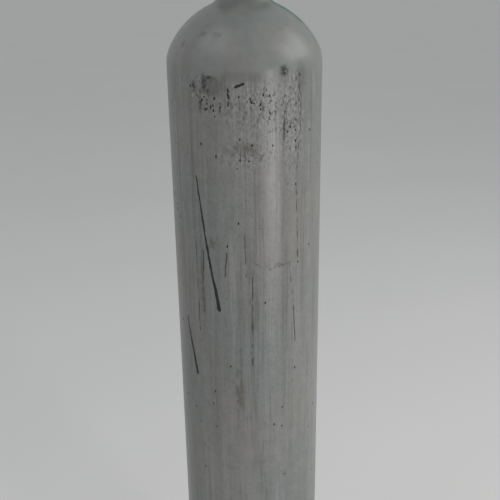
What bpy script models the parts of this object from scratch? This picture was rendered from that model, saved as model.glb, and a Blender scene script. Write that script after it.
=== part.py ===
"""A 40 litre seamless steel oxygen cylinder: shell, foot ring, neck ring, valve guard, and a brass valve with all
that works inside it.

Lengths are in metres and +Z is up. The origin is the centre of the foot ring, on the floor. The valve's outlet faces
-Y, and its pressure relief faces +Y. A height in the valve is measured from the top of the shell's neck.
"""

import math

import bmesh
import bpy

MM = 0.001
FIT_GAP = 0.3 * MM  # clear space between two separate pieces that touch on the real cylinder
CHAMFER = 0.8 * MM  # broken edge on turned pieces
CUT_PAST = 5 * MM  # a cutter runs this far past the face that it opens
SUNK = 1 * MM  # two shapes joined into one piece run this far into each other
SHEET_EDGE = 0.2 * MM  # broken edge on washers, gaskets and thin tube
SOFT_EDGE = 0.3 * MM  # broken edge on nylon discs
FOIL_EDGE = 0.1 * MM  # broken edge on the pressure relief's copper gasket and disc
CROWN_WIDTH = 4 * CHAMFER  # a hexagon's end slopes down over this width, which takes off its corners
CROWN_DEPTH = 2 * CHAMFER

# Shell
SHELL_RADIUS = 109.5 * MM
SHELL_WALL = 5.7 * MM
NECK_TOP = 1315 * MM  # height of the bare shell, without its valve
NECK_RADIUS = 34 * MM
NECK_HEIGHT = 34.8 * MM  # straight outside of the neck, above its fillet
NECK_FILLET = 20 * MM
KNUCKLE_RADIUS = 55 * MM  # tight bend where the straight wall turns into the shoulder
KNUCKLE_ANGLE = 27.6  # degrees that the knuckle turns through
CROWN_RADIUS = 118 * MM  # large bend of the shoulder above the knuckle
SHOULDER_WALL = 13 * MM  # the wall thickens to this at the top of the shoulder
BORE_ROUND = 8 * MM  # height over which the shoulder's inside runs into the neck's bore
BASE_HEIGHT = 75 * MM  # depth of the rounded base below the straight wall
BASE_WALL = 10 * MM
BASE_CLEARANCE = 12 * MM  # from the floor to the lowest point of the rounded base

# Foot ring, shrunk on to the rounded base
FOOT_INSET = 1 * MM  # the ring stands back this far from the straight wall
FOOT_RADIUS = SHELL_RADIUS - FOOT_INSET
FOOT_WALL = 6.5 * MM
FOOT_LIP = 1 * MM  # thickness of the ring's upper edge
FOOT_CHAMFER = 1.5 * MM

# Neck ring, whose thread holds the guard
RING_WALL = 5.7 * MM
RING_THREAD_RADIUS = NECK_RADIUS + FIT_GAP + RING_WALL
RING_FLANGE_WIDTH = 5 * MM
RING_FLANGE_RADIUS = RING_THREAD_RADIUS + RING_FLANGE_WIDTH
RING_FLANGE_HEIGHT = 10 * MM
RING_TOP_DROP = 3 * MM  # the ring ends this far below the neck's top
RING_FOOT_RISE = 1.8 * MM  # the ring starts this far above the neck's fillet
RING_HEIGHT = NECK_HEIGHT - RING_TOP_DROP - RING_FOOT_RISE

# Valve guard
GUARD_COLLAR_WALL = 6.5 * MM
GUARD_RADIUS = 57 * MM
GUARD_WALL = 4 * MM
GUARD_SHOULDER = 15 * MM  # height of the cone between collar and barrel
GUARD_ABOVE_STEM = 15 * MM  # the guard stands this far above the spindle's end
GUARD_TOP_RADIUS = 13 * MM  # how round the top edge is, outside
GUARD_LIP = 4 * MM  # flat width of the top, inside its rounding
GUARD_MOUTH_RADIUS = GUARD_RADIUS - GUARD_TOP_RADIUS - GUARD_LIP
WINDOW_WIDTH = 78 * MM
WINDOW_CORNER = 12 * MM
WINDOW_SILL = 20 * MM  # height of the window's lower edge
WINDOW_LINTEL = 20 * MM  # solid band that is left above the windows
DRAIN_RADIUS = 3.5 * MM
DRAIN_RISE = 6.75 * MM  # height of the drains above the collar
LOCK_SCREW_RADIUS = 4 * MM
LOCK_SCREW_PROUD = 2.5 * MM
LOCK_SLOT_WIDTH = 1.4 * MM
LOCK_SLOT_DEPTH = 1.8 * MM

# Valve body
INLET_RADIUS = 13.9 * MM  # large end of the tapered inlet
INLET_DEPTH = 26 * MM
INLET_TAPER = 0.06  # change of radius over length
TEST_RING_RADIUS = 31 * MM
TEST_RING_THICKNESS = 2 * MM
TEST_RING_EDGE = 0.4 * MM
VALVE_SHOULDER_WIDTH = 2.6 * MM  # the barrel is this much larger than the inlet, all round
BARREL_RADIUS = INLET_RADIUS + VALVE_SHOULDER_WIDTH
HEX_PROUD = 0.5 * MM  # the hexagon's flats stand this far out of the barrel
HEX_FLATS = 2 * (BARREL_RADIUS + HEX_PROUD)
HEX_HEIGHT = 12 * MM
PASSAGE_RADIUS = 4 * MM
OUTLET_HEIGHT = 42 * MM  # axis of the outlet
RELIEF_DROP = 14 * MM  # axis of the pressure relief, below the outlet's
RELIEF_HEIGHT = OUTLET_HEIGHT - RELIEF_DROP
SEAT_LIP_RADIUS = 6.2 * MM
SEAT_LIP_HEIGHT = 1 * MM
SEAT_BELOW_PASSAGE = 2 * MM  # the seat is this far below the outlet's passage
CHAMBER_RADIUS = 10.3 * MM
LEDGE_WIDTH = 2 * MM  # step on which the bonnet's shank sits

# Spindle, plug and bonnet
PLUG_NOSE_RADIUS = 7.6 * MM
PLUG_NOSE_HEIGHT = 8 * MM
PLUG_THREAD_HEIGHT = 12 * MM
PLUG_LIFT = 3.75 * MM  # 2.5 turns of a 1.5 mm thread
SEAT_PAD_RADIUS = 6 * MM
SEAT_PAD_HEIGHT = 3 * MM
SLOT_DEPTH = 10 * MM
BLADE_THICKNESS = 4.4 * MM
BLADE_WIDTH = 14 * MM
STEM_RADIUS = 4.75 * MM
STEM_FLANGE_GAP = 1.3 * MM  # clear space round the flange, inside the chamber
STEM_FLANGE_RADIUS = CHAMBER_RADIUS - STEM_FLANGE_GAP
STEM_FLANGE_HEIGHT = 5.5 * MM
STEM_SLOT_DEPTH = 4 * MM
STEM_THREAD_RADIUS = 3 * MM
STEM_SQUARE_MARGIN = 0.3 * MM  # the square's sides stand this far out of the thread
STEM_SQUARE = 2 * (STEM_THREAD_RADIUS + STEM_SQUARE_MARGIN)
GASKET_THICKNESS = 1.8 * MM
BONNET_SHANK = 6 * MM
BONNET_FLATS = 27 * MM
BONNET_HEIGHT = 12 * MM
SPRING_RECESS = 5 * MM
SPRING_RADIUS = 6.8 * MM
SPRING_WIRE_RADIUS = 0.8 * MM
SPRING_TURNS = 4
SPRING_HEIGHT = 11 * MM

# Handwheel
WHEEL_RADIUS = 31 * MM
WHEEL_RIM_WIDTH = 7.5 * MM
WHEEL_RIM_HEIGHT = 9 * MM
WHEEL_HUB_RADIUS = 9 * MM
WHEEL_HUB_HEIGHT = 11 * MM
WHEEL_WEB_HEIGHT = 4 * MM
WHEEL_GRIPS = 10
WHEEL_GRIP_RADIUS = 7 * MM
WHEEL_GRIP_DEPTH = 2.4 * MM
WHEEL_HOLES = 5
WHEEL_HOLE_RADIUS = 4.2 * MM
WASHER_RADIUS = 7 * MM
WASHER_THICKNESS = 1.2 * MM
NUT_FLATS = 10 * MM
NUT_HEIGHT = 5 * MM
STEM_END_PROUD = 1.5 * MM

# Outlet and its cap
OUTLET_THREAD_RADIUS = 11.45 * MM
OUTLET_BOSS_STEP = 2.55 * MM  # the boss is this much larger than the thread, all round
OUTLET_BOSS_RADIUS = OUTLET_THREAD_RADIUS + OUTLET_BOSS_STEP
OUTLET_BOSS_REACH = 24 * MM
OUTLET_THREAD_LENGTH = 17 * MM
OUTLET_SEAT_RADIUS = 6.5 * MM
OUTLET_SEAT_DEPTH = 8 * MM  # of the straight part, above its cone
OUTLET_SEAT_CONE = 3 * MM
OUTLET_PASSAGE_RADIUS = 3 * MM
CAP_WALL = 3.25 * MM
CAP_RADIUS = OUTLET_THREAD_RADIUS + FIT_GAP + CAP_WALL
CAP_END = 3 * MM
CAP_WASHER_INSET = 0.95 * MM  # the washer is this much smaller than the thread, all round
CAP_WASHER_RADIUS = OUTLET_THREAD_RADIUS - CAP_WASHER_INSET
CAP_WASHER_THICKNESS = 2 * MM
CAP_GRIPS = 12
CAP_GRIP_RADIUS = 1.6 * MM
CAP_GRIP_START = 3 * MM  # plain band at the cap's open end

# Pressure relief
RELIEF_BORE_RADIUS = 8.3 * MM
RELIEF_BOSS_WALL = 2.7 * MM
RELIEF_BOSS_RADIUS = RELIEF_BORE_RADIUS + RELIEF_BOSS_WALL
RELIEF_BOSS_REACH = 25 * MM
RELIEF_BORE_START = 13 * MM
RELIEF_PASSAGE_RADIUS = 2.5 * MM
RELIEF_GASKET_THICKNESS = 1 * MM
BURST_DISC_THICKNESS = 0.5 * MM
RELIEF_FLATS = 19 * MM
RELIEF_HEAD = 9 * MM
RELIEF_VENT_RADIUS = 1.25 * MM

# Anti-debris tube below the inlet
TUBE_WALL = 1 * MM
TUBE_GRIP = 12 * MM  # length held inside the inlet
TUBE_HANG = 48 * MM  # length below the inlet

# Facets of a full turn
BIG_STEPS = 44
MEDIUM_STEPS = 28
SMALL_STEPS = 20
GRIP_STEPS = 16
HOLE_STEPS = 12
FLUTE_STEPS = 8

# Heights that several pieces share, from the top of the neck
TEST_RING_BOTTOM = FIT_GAP
VALVE_SHOULDER = TEST_RING_BOTTOM + TEST_RING_THICKNESS + FIT_GAP
SEAT_HEIGHT = OUTLET_HEIGHT - OUTLET_PASSAGE_RADIUS - SEAT_BELOW_PASSAGE
PLUG_BOTTOM = SEAT_HEIGHT + FIT_GAP
PLUG_TOP = PLUG_BOTTOM + PLUG_NOSE_HEIGHT + PLUG_THREAD_HEIGHT
SLOT_BOTTOM = PLUG_TOP - SLOT_DEPTH
BLADE_BOTTOM = SLOT_BOTTOM + PLUG_LIFT + 1.5 * FIT_GAP
STEM_BOTTOM = PLUG_TOP + PLUG_LIFT + 1.5 * FIT_GAP
BLADE_TOP = STEM_BOTTOM + STEM_SLOT_DEPTH - FIT_GAP
STEM_FLANGE_TOP = STEM_BOTTOM + STEM_FLANGE_HEIGHT
GASKET_TOP = STEM_FLANGE_TOP + FIT_GAP + GASKET_THICKNESS
BONNET_BOTTOM = GASKET_TOP + FIT_GAP
BODY_TOP = BONNET_BOTTOM + BONNET_SHANK
BONNET_HEAD = BODY_TOP + FIT_GAP
BONNET_TOP = BONNET_HEAD + BONNET_HEIGHT
SPRING_BOTTOM = BONNET_TOP - SPRING_RECESS + FIT_GAP
WHEEL_BOTTOM = SPRING_BOTTOM + SPRING_HEIGHT + FIT_GAP
WHEEL_TOP = WHEEL_BOTTOM + WHEEL_HUB_HEIGHT
SQUARE_TOP = WHEEL_TOP - FIT_GAP
WASHER_BOTTOM = WHEEL_TOP + FIT_GAP
NUT_BOTTOM = WASHER_BOTTOM + WASHER_THICKNESS + FIT_GAP
STEM_TOP = NUT_BOTTOM + NUT_HEIGHT + STEM_END_PROUD
GUARD_TOP = STEM_TOP + GUARD_ABOVE_STEM

PAINTED_STEEL = ("painted_steel", (0.21, 0.225, 0.22), 0.5, 0.1)
BARE_STEEL = ("bare_steel", (0.32, 0.31, 0.3), 0.45, 0.9)
BRASS = ("brass", (0.62, 0.46, 0.2), 0.35, 0.95)
COPPER = ("copper", (0.62, 0.3, 0.18), 0.35, 0.95)
ALLOY = ("cast_alloy", (0.05, 0.16, 0.09), 0.45, 0.2)
NYLON = ("nylon", (0.8, 0.79, 0.74), 0.5, 0.0)
RING_PLASTIC = ("ring_plastic", (0.05, 0.28, 0.12), 0.45, 0.0)


# Tools ---------------------------------------------------------------------------------------------------------------


def clear_scene():
    for obj in list(bpy.data.objects):
        bpy.data.objects.remove(obj)


def material(name, colour, roughness, metallic):
    """A material of its own for one piece, so that no two pieces share a finish by accident."""
    made = bpy.data.materials.new(name)
    made.use_nodes = True
    shader = made.node_tree.nodes["Principled BSDF"]
    shader.inputs["Base Color"].default_value = (*colour, 1)
    shader.inputs["Roughness"].default_value = roughness
    shader.inputs["Metallic"].default_value = metallic
    return made


def link(name, data, finish=None, parent=None, location=(0, 0, 0)):
    """Adds an object to the scene. One with no finish is a helper, such as a cutter, and isn't a piece."""
    obj = bpy.data.objects.new(name, data)
    bpy.context.scene.collection.objects.link(obj)
    obj.location = location
    obj.parent = parent
    if finish is None:
        obj.hide_render = True
        obj.display_type = "WIRE"
    else:
        data.materials.append(material(*finish))
    return obj


def axis_empty(name, location, rotation=(0, 0, 0), parent=None):
    """A place and a direction (+Z) from which the pieces on one axis are measured."""
    empty = bpy.data.objects.new(name, None)
    bpy.context.scene.collection.objects.link(empty)
    empty.location = location
    empty.rotation_euler = rotation
    empty.parent = parent
    return empty


def arc(centre, radius, start, end, steps):
    """Points (r, z) along an arc about centre, from start to end in degrees, both ends included."""
    points = []
    for i in range(steps + 1):
        angle = math.radians(start + (end - start) * i / steps)
        points.append((centre[0] + radius * math.cos(angle), centre[1] + radius * math.sin(angle)))
    return points


def ring_outline(inner, outer, bottom, top, chamfer=CHAMFER):
    """Closed outline of a ring, down its outer side."""
    return [
        (inner, top),
        (outer - chamfer, top),
        (outer, top - chamfer),
        (outer, bottom + chamfer),
        (outer - chamfer, bottom),
        (inner, bottom),
    ]


def disc_outline(radius, bottom, top, chamfer=CHAMFER):
    """Open outline of a solid disc or bar, from the axis at its top to the axis at its bottom."""
    return [
        (0, top),
        (radius - chamfer, top),
        (radius, top - chamfer),
        (radius, bottom + chamfer),
        (radius - chamfer, bottom),
        (0, bottom),
    ]


def crown_outline(flats, bottom, top):
    """Open outline of what is kept of a hexagonal head: a bar with a sloping end that cuts the hexagon's corners."""
    inside = flats / 2 - CHAMFER
    outside = inside + CROWN_WIDTH
    return [(0, top), (inside, top), (outside, top - CROWN_DEPTH), (outside, bottom - CUT_PAST), (0, bottom - CUT_PAST)]


def turned(name, outline, finish=None, parent=None, steps=MEDIUM_STEPS, location=(0, 0, 0)):
    """Turns an outline of (r, z) points about +Z. One that starts and ends on the axis is a solid body, and any
    other is closed into a ring. The outer side runs downwards."""
    mesh = bpy.data.meshes.new(name)
    points = [(r, 0, z) for r, z in outline]
    edges = [(i, i + 1) for i in range(len(points) - 1)]
    if outline[0][0] > 0:
        edges.append((len(points) - 1, 0))
    mesh.from_pydata(points, edges, [])
    obj = link(name, mesh, finish, parent, location)
    screw = obj.modifiers.new("Turn", "SCREW")
    screw.axis = "Z"
    screw.angle = 2 * math.pi
    screw.steps = screw.render_steps = steps
    screw.use_merge_vertices = True
    screw.merge_threshold = 0.00001
    screw.use_smooth_shade = True
    return obj


def prism(name, corners, bottom, top, finish=None, parent=None, location=(0, 0, 0)):
    """A flat outline of (x, y) corners, counter-clockwise, extruded from bottom to top."""
    mesh = bpy.data.meshes.new(name)
    build = bmesh.new()
    face = build.faces.new([build.verts.new((x, y, bottom)) for x, y in corners])
    made = bmesh.ops.extrude_face_region(build, geom=[face])
    raised = [item for item in made["geom"] if isinstance(item, bmesh.types.BMVert)]
    bmesh.ops.translate(build, verts=raised, vec=(0, 0, top - bottom))
    bmesh.ops.recalc_face_normals(build, faces=build.faces)
    build.to_mesh(mesh)
    build.free()
    return link(name, mesh, finish, parent, location)


def hexagon(flats, turn=0.0):
    """Corners of a hexagon from its width across flats."""
    radius = flats / math.sqrt(3)
    return [
        (radius * math.cos(turn + i * math.pi / 3), radius * math.sin(turn + i * math.pi / 3)) for i in range(6)
    ]


def rectangle(width, depth):
    return [(-width / 2, -depth / 2), (width / 2, -depth / 2), (width / 2, depth / 2), (-width / 2, depth / 2)]


def rounded_rectangle(width, height, corner, steps=5):
    """Corners of a rectangle centred on the origin, with round corners."""
    points = []
    for turn, (sx, sy) in enumerate(((1, 1), (-1, 1), (-1, -1), (1, -1))):
        centre = (sx * (width / 2 - corner), sy * (height / 2 - corner))
        points += arc(centre, corner, 90 * turn, 90 * turn + 90, steps)
    return points


def combine(obj, other, operation):
    """Adds a Boolean of another object to obj, and leaves that object as a helper."""
    step = obj.modifiers.new(f"{operation.title()} {other.name}", "BOOLEAN")
    step.operation = operation
    step.object = other
    step.solver = "EXACT"
    return obj


def cut(obj, *cutters):
    for cutter in cutters:
        combine(obj, cutter, "DIFFERENCE")


def join(obj, *others):
    for other in others:
        combine(obj, other, "UNION")


# Shell and rings -----------------------------------------------------------------------------------------------------


def shoulder_arcs():
    """The shoulder's outer arcs as (centre, radius, start, end), from the neck down to the straight wall."""
    neck_foot = NECK_TOP - NECK_HEIGHT
    fillet_centre = (NECK_RADIUS + NECK_FILLET, neck_foot)
    turn = math.radians(KNUCKLE_ANGLE)
    knuckle_r = SHELL_RADIUS - KNUCKLE_RADIUS
    crown_r = knuckle_r - (CROWN_RADIUS - KNUCKLE_RADIUS) * math.cos(turn)
    reach = CROWN_RADIUS + NECK_FILLET
    crown_z = neck_foot - math.sqrt(reach**2 - (fillet_centre[0] - crown_r) ** 2)
    knuckle_z = crown_z + (CROWN_RADIUS - KNUCKLE_RADIUS) * math.sin(turn)
    meet = math.degrees(math.acos((fillet_centre[0] - crown_r) / reach))
    return (
        (fillet_centre, NECK_FILLET, 180, 180 + meet),
        ((crown_r, crown_z), CROWN_RADIUS, meet, KNUCKLE_ANGLE),
        ((knuckle_r, knuckle_z), KNUCKLE_RADIUS, KNUCKLE_ANGLE, 0),
    )


def thinned_arc(outer, wall_start, wall_end, steps):
    """The inside of an outer arc, walked the other way, upwards, while the wall grows evenly."""
    centre, radius, start, end = outer
    points = []
    for i in range(steps + 1):
        share = i / steps
        wall = wall_start + (wall_end - wall_start) * share
        angle = math.radians(end + (start - end) * share)
        points.append((centre[0] + (radius - wall) * math.cos(angle), centre[1] + (radius - wall) * math.sin(angle)))
    return points


def base_point(angle, radius, depth, tangent):
    """A point of the rounded base, an ellipse quarter: angle 0 is the straight wall and 90 the lowest point."""
    return radius * math.cos(math.radians(angle)), tangent - depth * math.sin(math.radians(angle))


def shell_outline():
    """From the inside of the base, up the inner wall, over the neck, and down the outside."""
    fillet, crown, knuckle = shoulder_arcs()
    base_tangent = BASE_CLEARANCE + BASE_HEIGHT
    outer_shoulder = arc(*fillet, 3) + arc(*crown, 7)[1:] + arc(*knuckle, 4)[1:]
    inner_base = [
        base_point(angle, SHELL_RADIUS - SHELL_WALL, BASE_HEIGHT - BASE_WALL, base_tangent)
        for angle in (72, 54, 36, 18, 0)
    ]
    bore = bore_radius(INLET_DEPTH)
    inner_shoulder = [
        *thinned_arc(knuckle, SHELL_WALL, SHELL_WALL, 3),
        *thinned_arc(crown, SHELL_WALL, SHOULDER_WALL, 6)[1:],
    ]
    outer_base = [base_point(angle, SHELL_RADIUS, BASE_HEIGHT, base_tangent) for angle in base_angles()]
    return [
        (0, BASE_CLEARANCE + BASE_WALL),
        *inner_base,
        *inner_shoulder,
        (bore, inner_shoulder[-1][1] + BORE_ROUND),
        (bore, NECK_TOP - INLET_DEPTH),
        (bore_radius(0), NECK_TOP),
        (NECK_RADIUS - CHAMFER, NECK_TOP),
        (NECK_RADIUS, NECK_TOP - CHAMFER),
        *outer_shoulder,
        *outer_base,
        (0, BASE_CLEARANCE),
    ]


def grip_angles():
    """Angles of the rounded base from the foot ring's lip down to its inner wall, where the ring follows the base."""
    reach = SHELL_RADIUS + FIT_GAP
    lip = math.degrees(math.acos((FOOT_RADIUS - FOOT_LIP) / reach))
    inner = math.degrees(math.acos((FOOT_RADIUS - FOOT_WALL) / reach))
    return [lip + (inner - lip) * i / 3 for i in range(4)]


def base_angles():
    """Facets of the rounded base, from the straight wall to nearly the lowest point."""
    grip = grip_angles()
    last = 84
    return [0, grip[0] / 2, *grip, *(grip[-1] + (last - grip[-1]) * i / 5 for i in range(1, 6))]


def inlet_radius(depth):
    """The valve inlet's radius this far below the neck's top."""
    return INLET_RADIUS - INLET_TAPER * depth


def bore_radius(depth):
    return inlet_radius(depth) + FIT_GAP


def foot_outline():
    """The ring's inside follows the rounded base, a gap away, from its thin lip down to its inner wall."""
    reach = (SHELL_RADIUS + FIT_GAP, BASE_HEIGHT + FIT_GAP, BASE_CLEARANCE + BASE_HEIGHT)
    grip = [base_point(angle, *reach) for angle in grip_angles()]
    inner = grip[-1][0]
    return [
        grip[0],
        (FOOT_RADIUS - FOOT_LIP / 2, grip[0][1]),
        (FOOT_RADIUS, grip[0][1] - FOOT_LIP),
        (FOOT_RADIUS, FOOT_CHAMFER),
        (FOOT_RADIUS - FOOT_CHAMFER, 0),
        (inner + FOOT_CHAMFER, 0),
        (inner, FOOT_CHAMFER),
        *grip[:0:-1],
    ]


def neck_ring_outline():
    inner = NECK_RADIUS + FIT_GAP
    top = -RING_TOP_DROP
    bottom = top - RING_HEIGHT
    flange_top = bottom + RING_FLANGE_HEIGHT
    return [
        (inner, top),
        (RING_THREAD_RADIUS - CHAMFER, top),
        (RING_THREAD_RADIUS, top - CHAMFER),
        (RING_THREAD_RADIUS, flange_top),
        (RING_FLANGE_RADIUS - CHAMFER, flange_top),
        (RING_FLANGE_RADIUS, flange_top - CHAMFER),
        (RING_FLANGE_RADIUS, bottom + CHAMFER),
        (RING_FLANGE_RADIUS - CHAMFER, bottom),
        (inner, bottom),
    ]


def make_shell_and_rings(valve):
    turned("cylinder_shell", shell_outline(), PAINTED_STEEL, steps=BIG_STEPS)
    turned("foot_ring", foot_outline(), PAINTED_STEEL, steps=BIG_STEPS)
    turned("neck_ring", neck_ring_outline(), BARE_STEEL, valve, steps=MEDIUM_STEPS)


# Guard ---------------------------------------------------------------------------------------------------------------


def guard_collar():
    """(bottom, top) of the collar that grips the neck ring's thread."""
    bottom = RING_FLANGE_HEIGHT - RING_HEIGHT - RING_TOP_DROP + FIT_GAP
    return bottom, bottom + RING_HEIGHT - RING_FLANGE_HEIGHT


def guard_outline():
    """Collar, cone, barrel and a top edge that turns inwards. The wall stays GUARD_WALL thick above the collar."""
    collar_bottom, collar_top = guard_collar()
    inner = RING_THREAD_RADIUS + FIT_GAP
    collar = inner + GUARD_COLLAR_WALL
    barrel_bottom = collar_top + GUARD_SHOULDER
    bend_centre = (GUARD_RADIUS - GUARD_TOP_RADIUS, GUARD_TOP - GUARD_TOP_RADIUS)
    outside = arc(bend_centre, GUARD_TOP_RADIUS, 90, 0, 5)
    inside = arc(bend_centre, GUARD_TOP_RADIUS - GUARD_WALL, 0, 90, 3)
    return [
        (GUARD_MOUTH_RADIUS, GUARD_TOP - CHAMFER),
        (GUARD_MOUTH_RADIUS + CHAMFER, GUARD_TOP),
        *outside,
        (GUARD_RADIUS, barrel_bottom),
        (collar, collar_top),
        (collar, collar_bottom + CHAMFER),
        (collar - CHAMFER, collar_bottom),
        (inner, collar_bottom),
        (inner, collar_top),
        (GUARD_RADIUS - GUARD_WALL, barrel_bottom + GUARD_WALL / 2),
        *inside,
        (GUARD_MOUTH_RADIUS, GUARD_TOP - GUARD_WALL),
    ]


def make_guard(valve):
    """The guard, with a window over the outlet and one over the relief, drain holes, and two locking screws."""
    guard = turned("valve_guard", guard_outline(), PAINTED_STEEL, valve, steps=BIG_STEPS)
    window_top = GUARD_TOP - WINDOW_LINTEL
    height = window_top - WINDOW_SILL
    middle = axis_empty("window_axis", (0, 0, WINDOW_SILL + height / 2), (math.pi / 2, 0, 0), valve)
    corners = rounded_rectangle(WINDOW_WIDTH, height, WINDOW_CORNER)
    reach = GUARD_RADIUS + CUT_PAST
    windows = prism("window_cutter", corners, -reach, reach, parent=middle)
    collar_bottom, collar_top = guard_collar()
    drain_level = collar_top + DRAIN_RISE
    across = axis_empty("drain_axis", (0, 0, drain_level), (0, math.pi / 2, 0), valve)
    drains = turned("drain_cutter", disc_outline(DRAIN_RADIUS, -reach, reach, 0), None, across, SMALL_STEPS)
    screw_level = (collar_bottom + collar_top) / 2
    screws = axis_empty("lock_screw_axis", (0, 0, screw_level), (0, math.pi / 2, 0), valve)
    holes = turned(
        "lock_screw_cutter", disc_outline(LOCK_SCREW_RADIUS + FIT_GAP, -reach, reach, 0), None, screws, SMALL_STEPS
    )
    cut(guard, windows, drains, holes)
    tip = RING_THREAD_RADIUS + FIT_GAP
    head = tip + GUARD_COLLAR_WALL + LOCK_SCREW_PROUD
    for name, side in (("guard_lock_screw_right", 1), ("guard_lock_screw_left", -1)):
        outline = disc_outline(LOCK_SCREW_RADIUS, tip, head, CHAMFER / 2)
        facing = axis_empty(f"{name}_axis", (0, 0, screw_level), (0, side * math.pi / 2, 0), valve)
        screw = turned(name, outline, BARE_STEEL, facing, SMALL_STEPS)
        slot_shape = rectangle(LOCK_SLOT_WIDTH, 2 * LOCK_SCREW_RADIUS + CUT_PAST)
        slot = prism(f"{name}_slot", slot_shape, head - LOCK_SLOT_DEPTH, head + CUT_PAST, parent=facing)
        cut(screw, slot)


# Valve body ----------------------------------------------------------------------------------------------------------


def make_valve_body(valve, outlet, relief):
    """Tapered inlet, hexagon, barrel and two bosses joined as one forging, then bored for what it holds."""
    hex_bottom = VALVE_SHOULDER
    hex_top = hex_bottom + HEX_HEIGHT
    body = turned(
        "valve_body",
        [
            (0, BODY_TOP),
            (BARREL_RADIUS - CHAMFER, BODY_TOP),
            (BARREL_RADIUS, BODY_TOP - CHAMFER),
            (BARREL_RADIUS, VALVE_SHOULDER + CHAMFER),
            (BARREL_RADIUS - CHAMFER, VALVE_SHOULDER),
            (inlet_radius(0), VALVE_SHOULDER),
            (inlet_radius(0), 0),
            (inlet_radius(INLET_DEPTH - CHAMFER), CHAMFER - INLET_DEPTH),
            (inlet_radius(INLET_DEPTH) - CHAMFER, -INLET_DEPTH),
            (0, -INLET_DEPTH),
        ],
        BRASS,
        valve,
    )
    flats = prism("body_hexagon", hexagon(HEX_FLATS), hex_bottom + CHAMFER / 2, hex_top, parent=valve)
    outlet_boss = turned(
        "outlet_boss",
        [
            (0, OUTLET_BOSS_REACH + OUTLET_THREAD_LENGTH),
            (OUTLET_THREAD_RADIUS - CHAMFER, OUTLET_BOSS_REACH + OUTLET_THREAD_LENGTH),
            (OUTLET_THREAD_RADIUS, OUTLET_BOSS_REACH + OUTLET_THREAD_LENGTH - CHAMFER),
            (OUTLET_THREAD_RADIUS, OUTLET_BOSS_REACH),
            (OUTLET_BOSS_RADIUS - CHAMFER, OUTLET_BOSS_REACH),
            (OUTLET_BOSS_RADIUS, OUTLET_BOSS_REACH - CHAMFER),
            (OUTLET_BOSS_RADIUS, 0),
            (0, 0),
        ],
        None,
        outlet,
    )
    relief_boss = turned("relief_boss", disc_outline(RELIEF_BOSS_RADIUS, 0, RELIEF_BOSS_REACH), None, relief)
    join(body, flats, outlet_boss, relief_boss)
    lip = SEAT_HEIGHT - SEAT_LIP_HEIGHT
    bonnet_bore = CHAMBER_RADIUS + LEDGE_WIDTH
    ledge = BONNET_BOTTOM - FIT_GAP
    bores = turned(
        "body_bores",
        [
            (0, BODY_TOP + CUT_PAST),
            (bonnet_bore, BODY_TOP + CUT_PAST),
            (bonnet_bore, ledge),
            (CHAMBER_RADIUS, ledge),
            (CHAMBER_RADIUS, lip),
            (SEAT_LIP_RADIUS, lip),
            (SEAT_LIP_RADIUS, SEAT_HEIGHT),
            (PASSAGE_RADIUS, SEAT_HEIGHT),
            (PASSAGE_RADIUS, -INLET_DEPTH - CUT_PAST),
            (0, -INLET_DEPTH - CUT_PAST),
        ],
        None,
        valve,
        SMALL_STEPS,
    )
    mouth = OUTLET_BOSS_REACH + OUTLET_THREAD_LENGTH
    outlet_bore = turned(
        "outlet_bore",
        [
            (0, mouth + CUT_PAST),
            (OUTLET_SEAT_RADIUS, mouth + CUT_PAST),
            (OUTLET_SEAT_RADIUS, mouth - OUTLET_SEAT_DEPTH),
            (OUTLET_PASSAGE_RADIUS, mouth - OUTLET_SEAT_DEPTH - OUTLET_SEAT_CONE),
            (OUTLET_PASSAGE_RADIUS, CHAMBER_RADIUS - CUT_PAST),
            (0, CHAMBER_RADIUS - CUT_PAST),
        ],
        None,
        outlet,
        SMALL_STEPS,
    )
    relief_bore = turned(
        "relief_bore",
        [
            (0, RELIEF_BOSS_REACH + CUT_PAST),
            (RELIEF_BORE_RADIUS, RELIEF_BOSS_REACH + CUT_PAST),
            (RELIEF_BORE_RADIUS, RELIEF_BORE_START),
            (RELIEF_PASSAGE_RADIUS, RELIEF_BORE_START),
            (RELIEF_PASSAGE_RADIUS, 0),
            (0, 0),
        ],
        None,
        relief,
        SMALL_STEPS,
    )
    cut(body, bores, outlet_bore, relief_bore)


def make_inlet_pieces(valve):
    """The coloured test ring round the inlet, and the tube that keeps rust out of the passage."""
    ring_top = TEST_RING_BOTTOM + TEST_RING_THICKNESS
    ring = ring_outline(INLET_RADIUS + 2 * FIT_GAP, TEST_RING_RADIUS, TEST_RING_BOTTOM, ring_top, TEST_RING_EDGE)
    turned("test_ring", ring, RING_PLASTIC, valve)
    outer = PASSAGE_RADIUS - FIT_GAP
    tube = ring_outline(outer - TUBE_WALL, outer, -INLET_DEPTH - TUBE_HANG, TUBE_GRIP - INLET_DEPTH, SHEET_EDGE)
    turned("anti_debris_tube", tube, BRASS, valve, SMALL_STEPS)


# Spindle -------------------------------------------------------------------------------------------------------------


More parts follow.
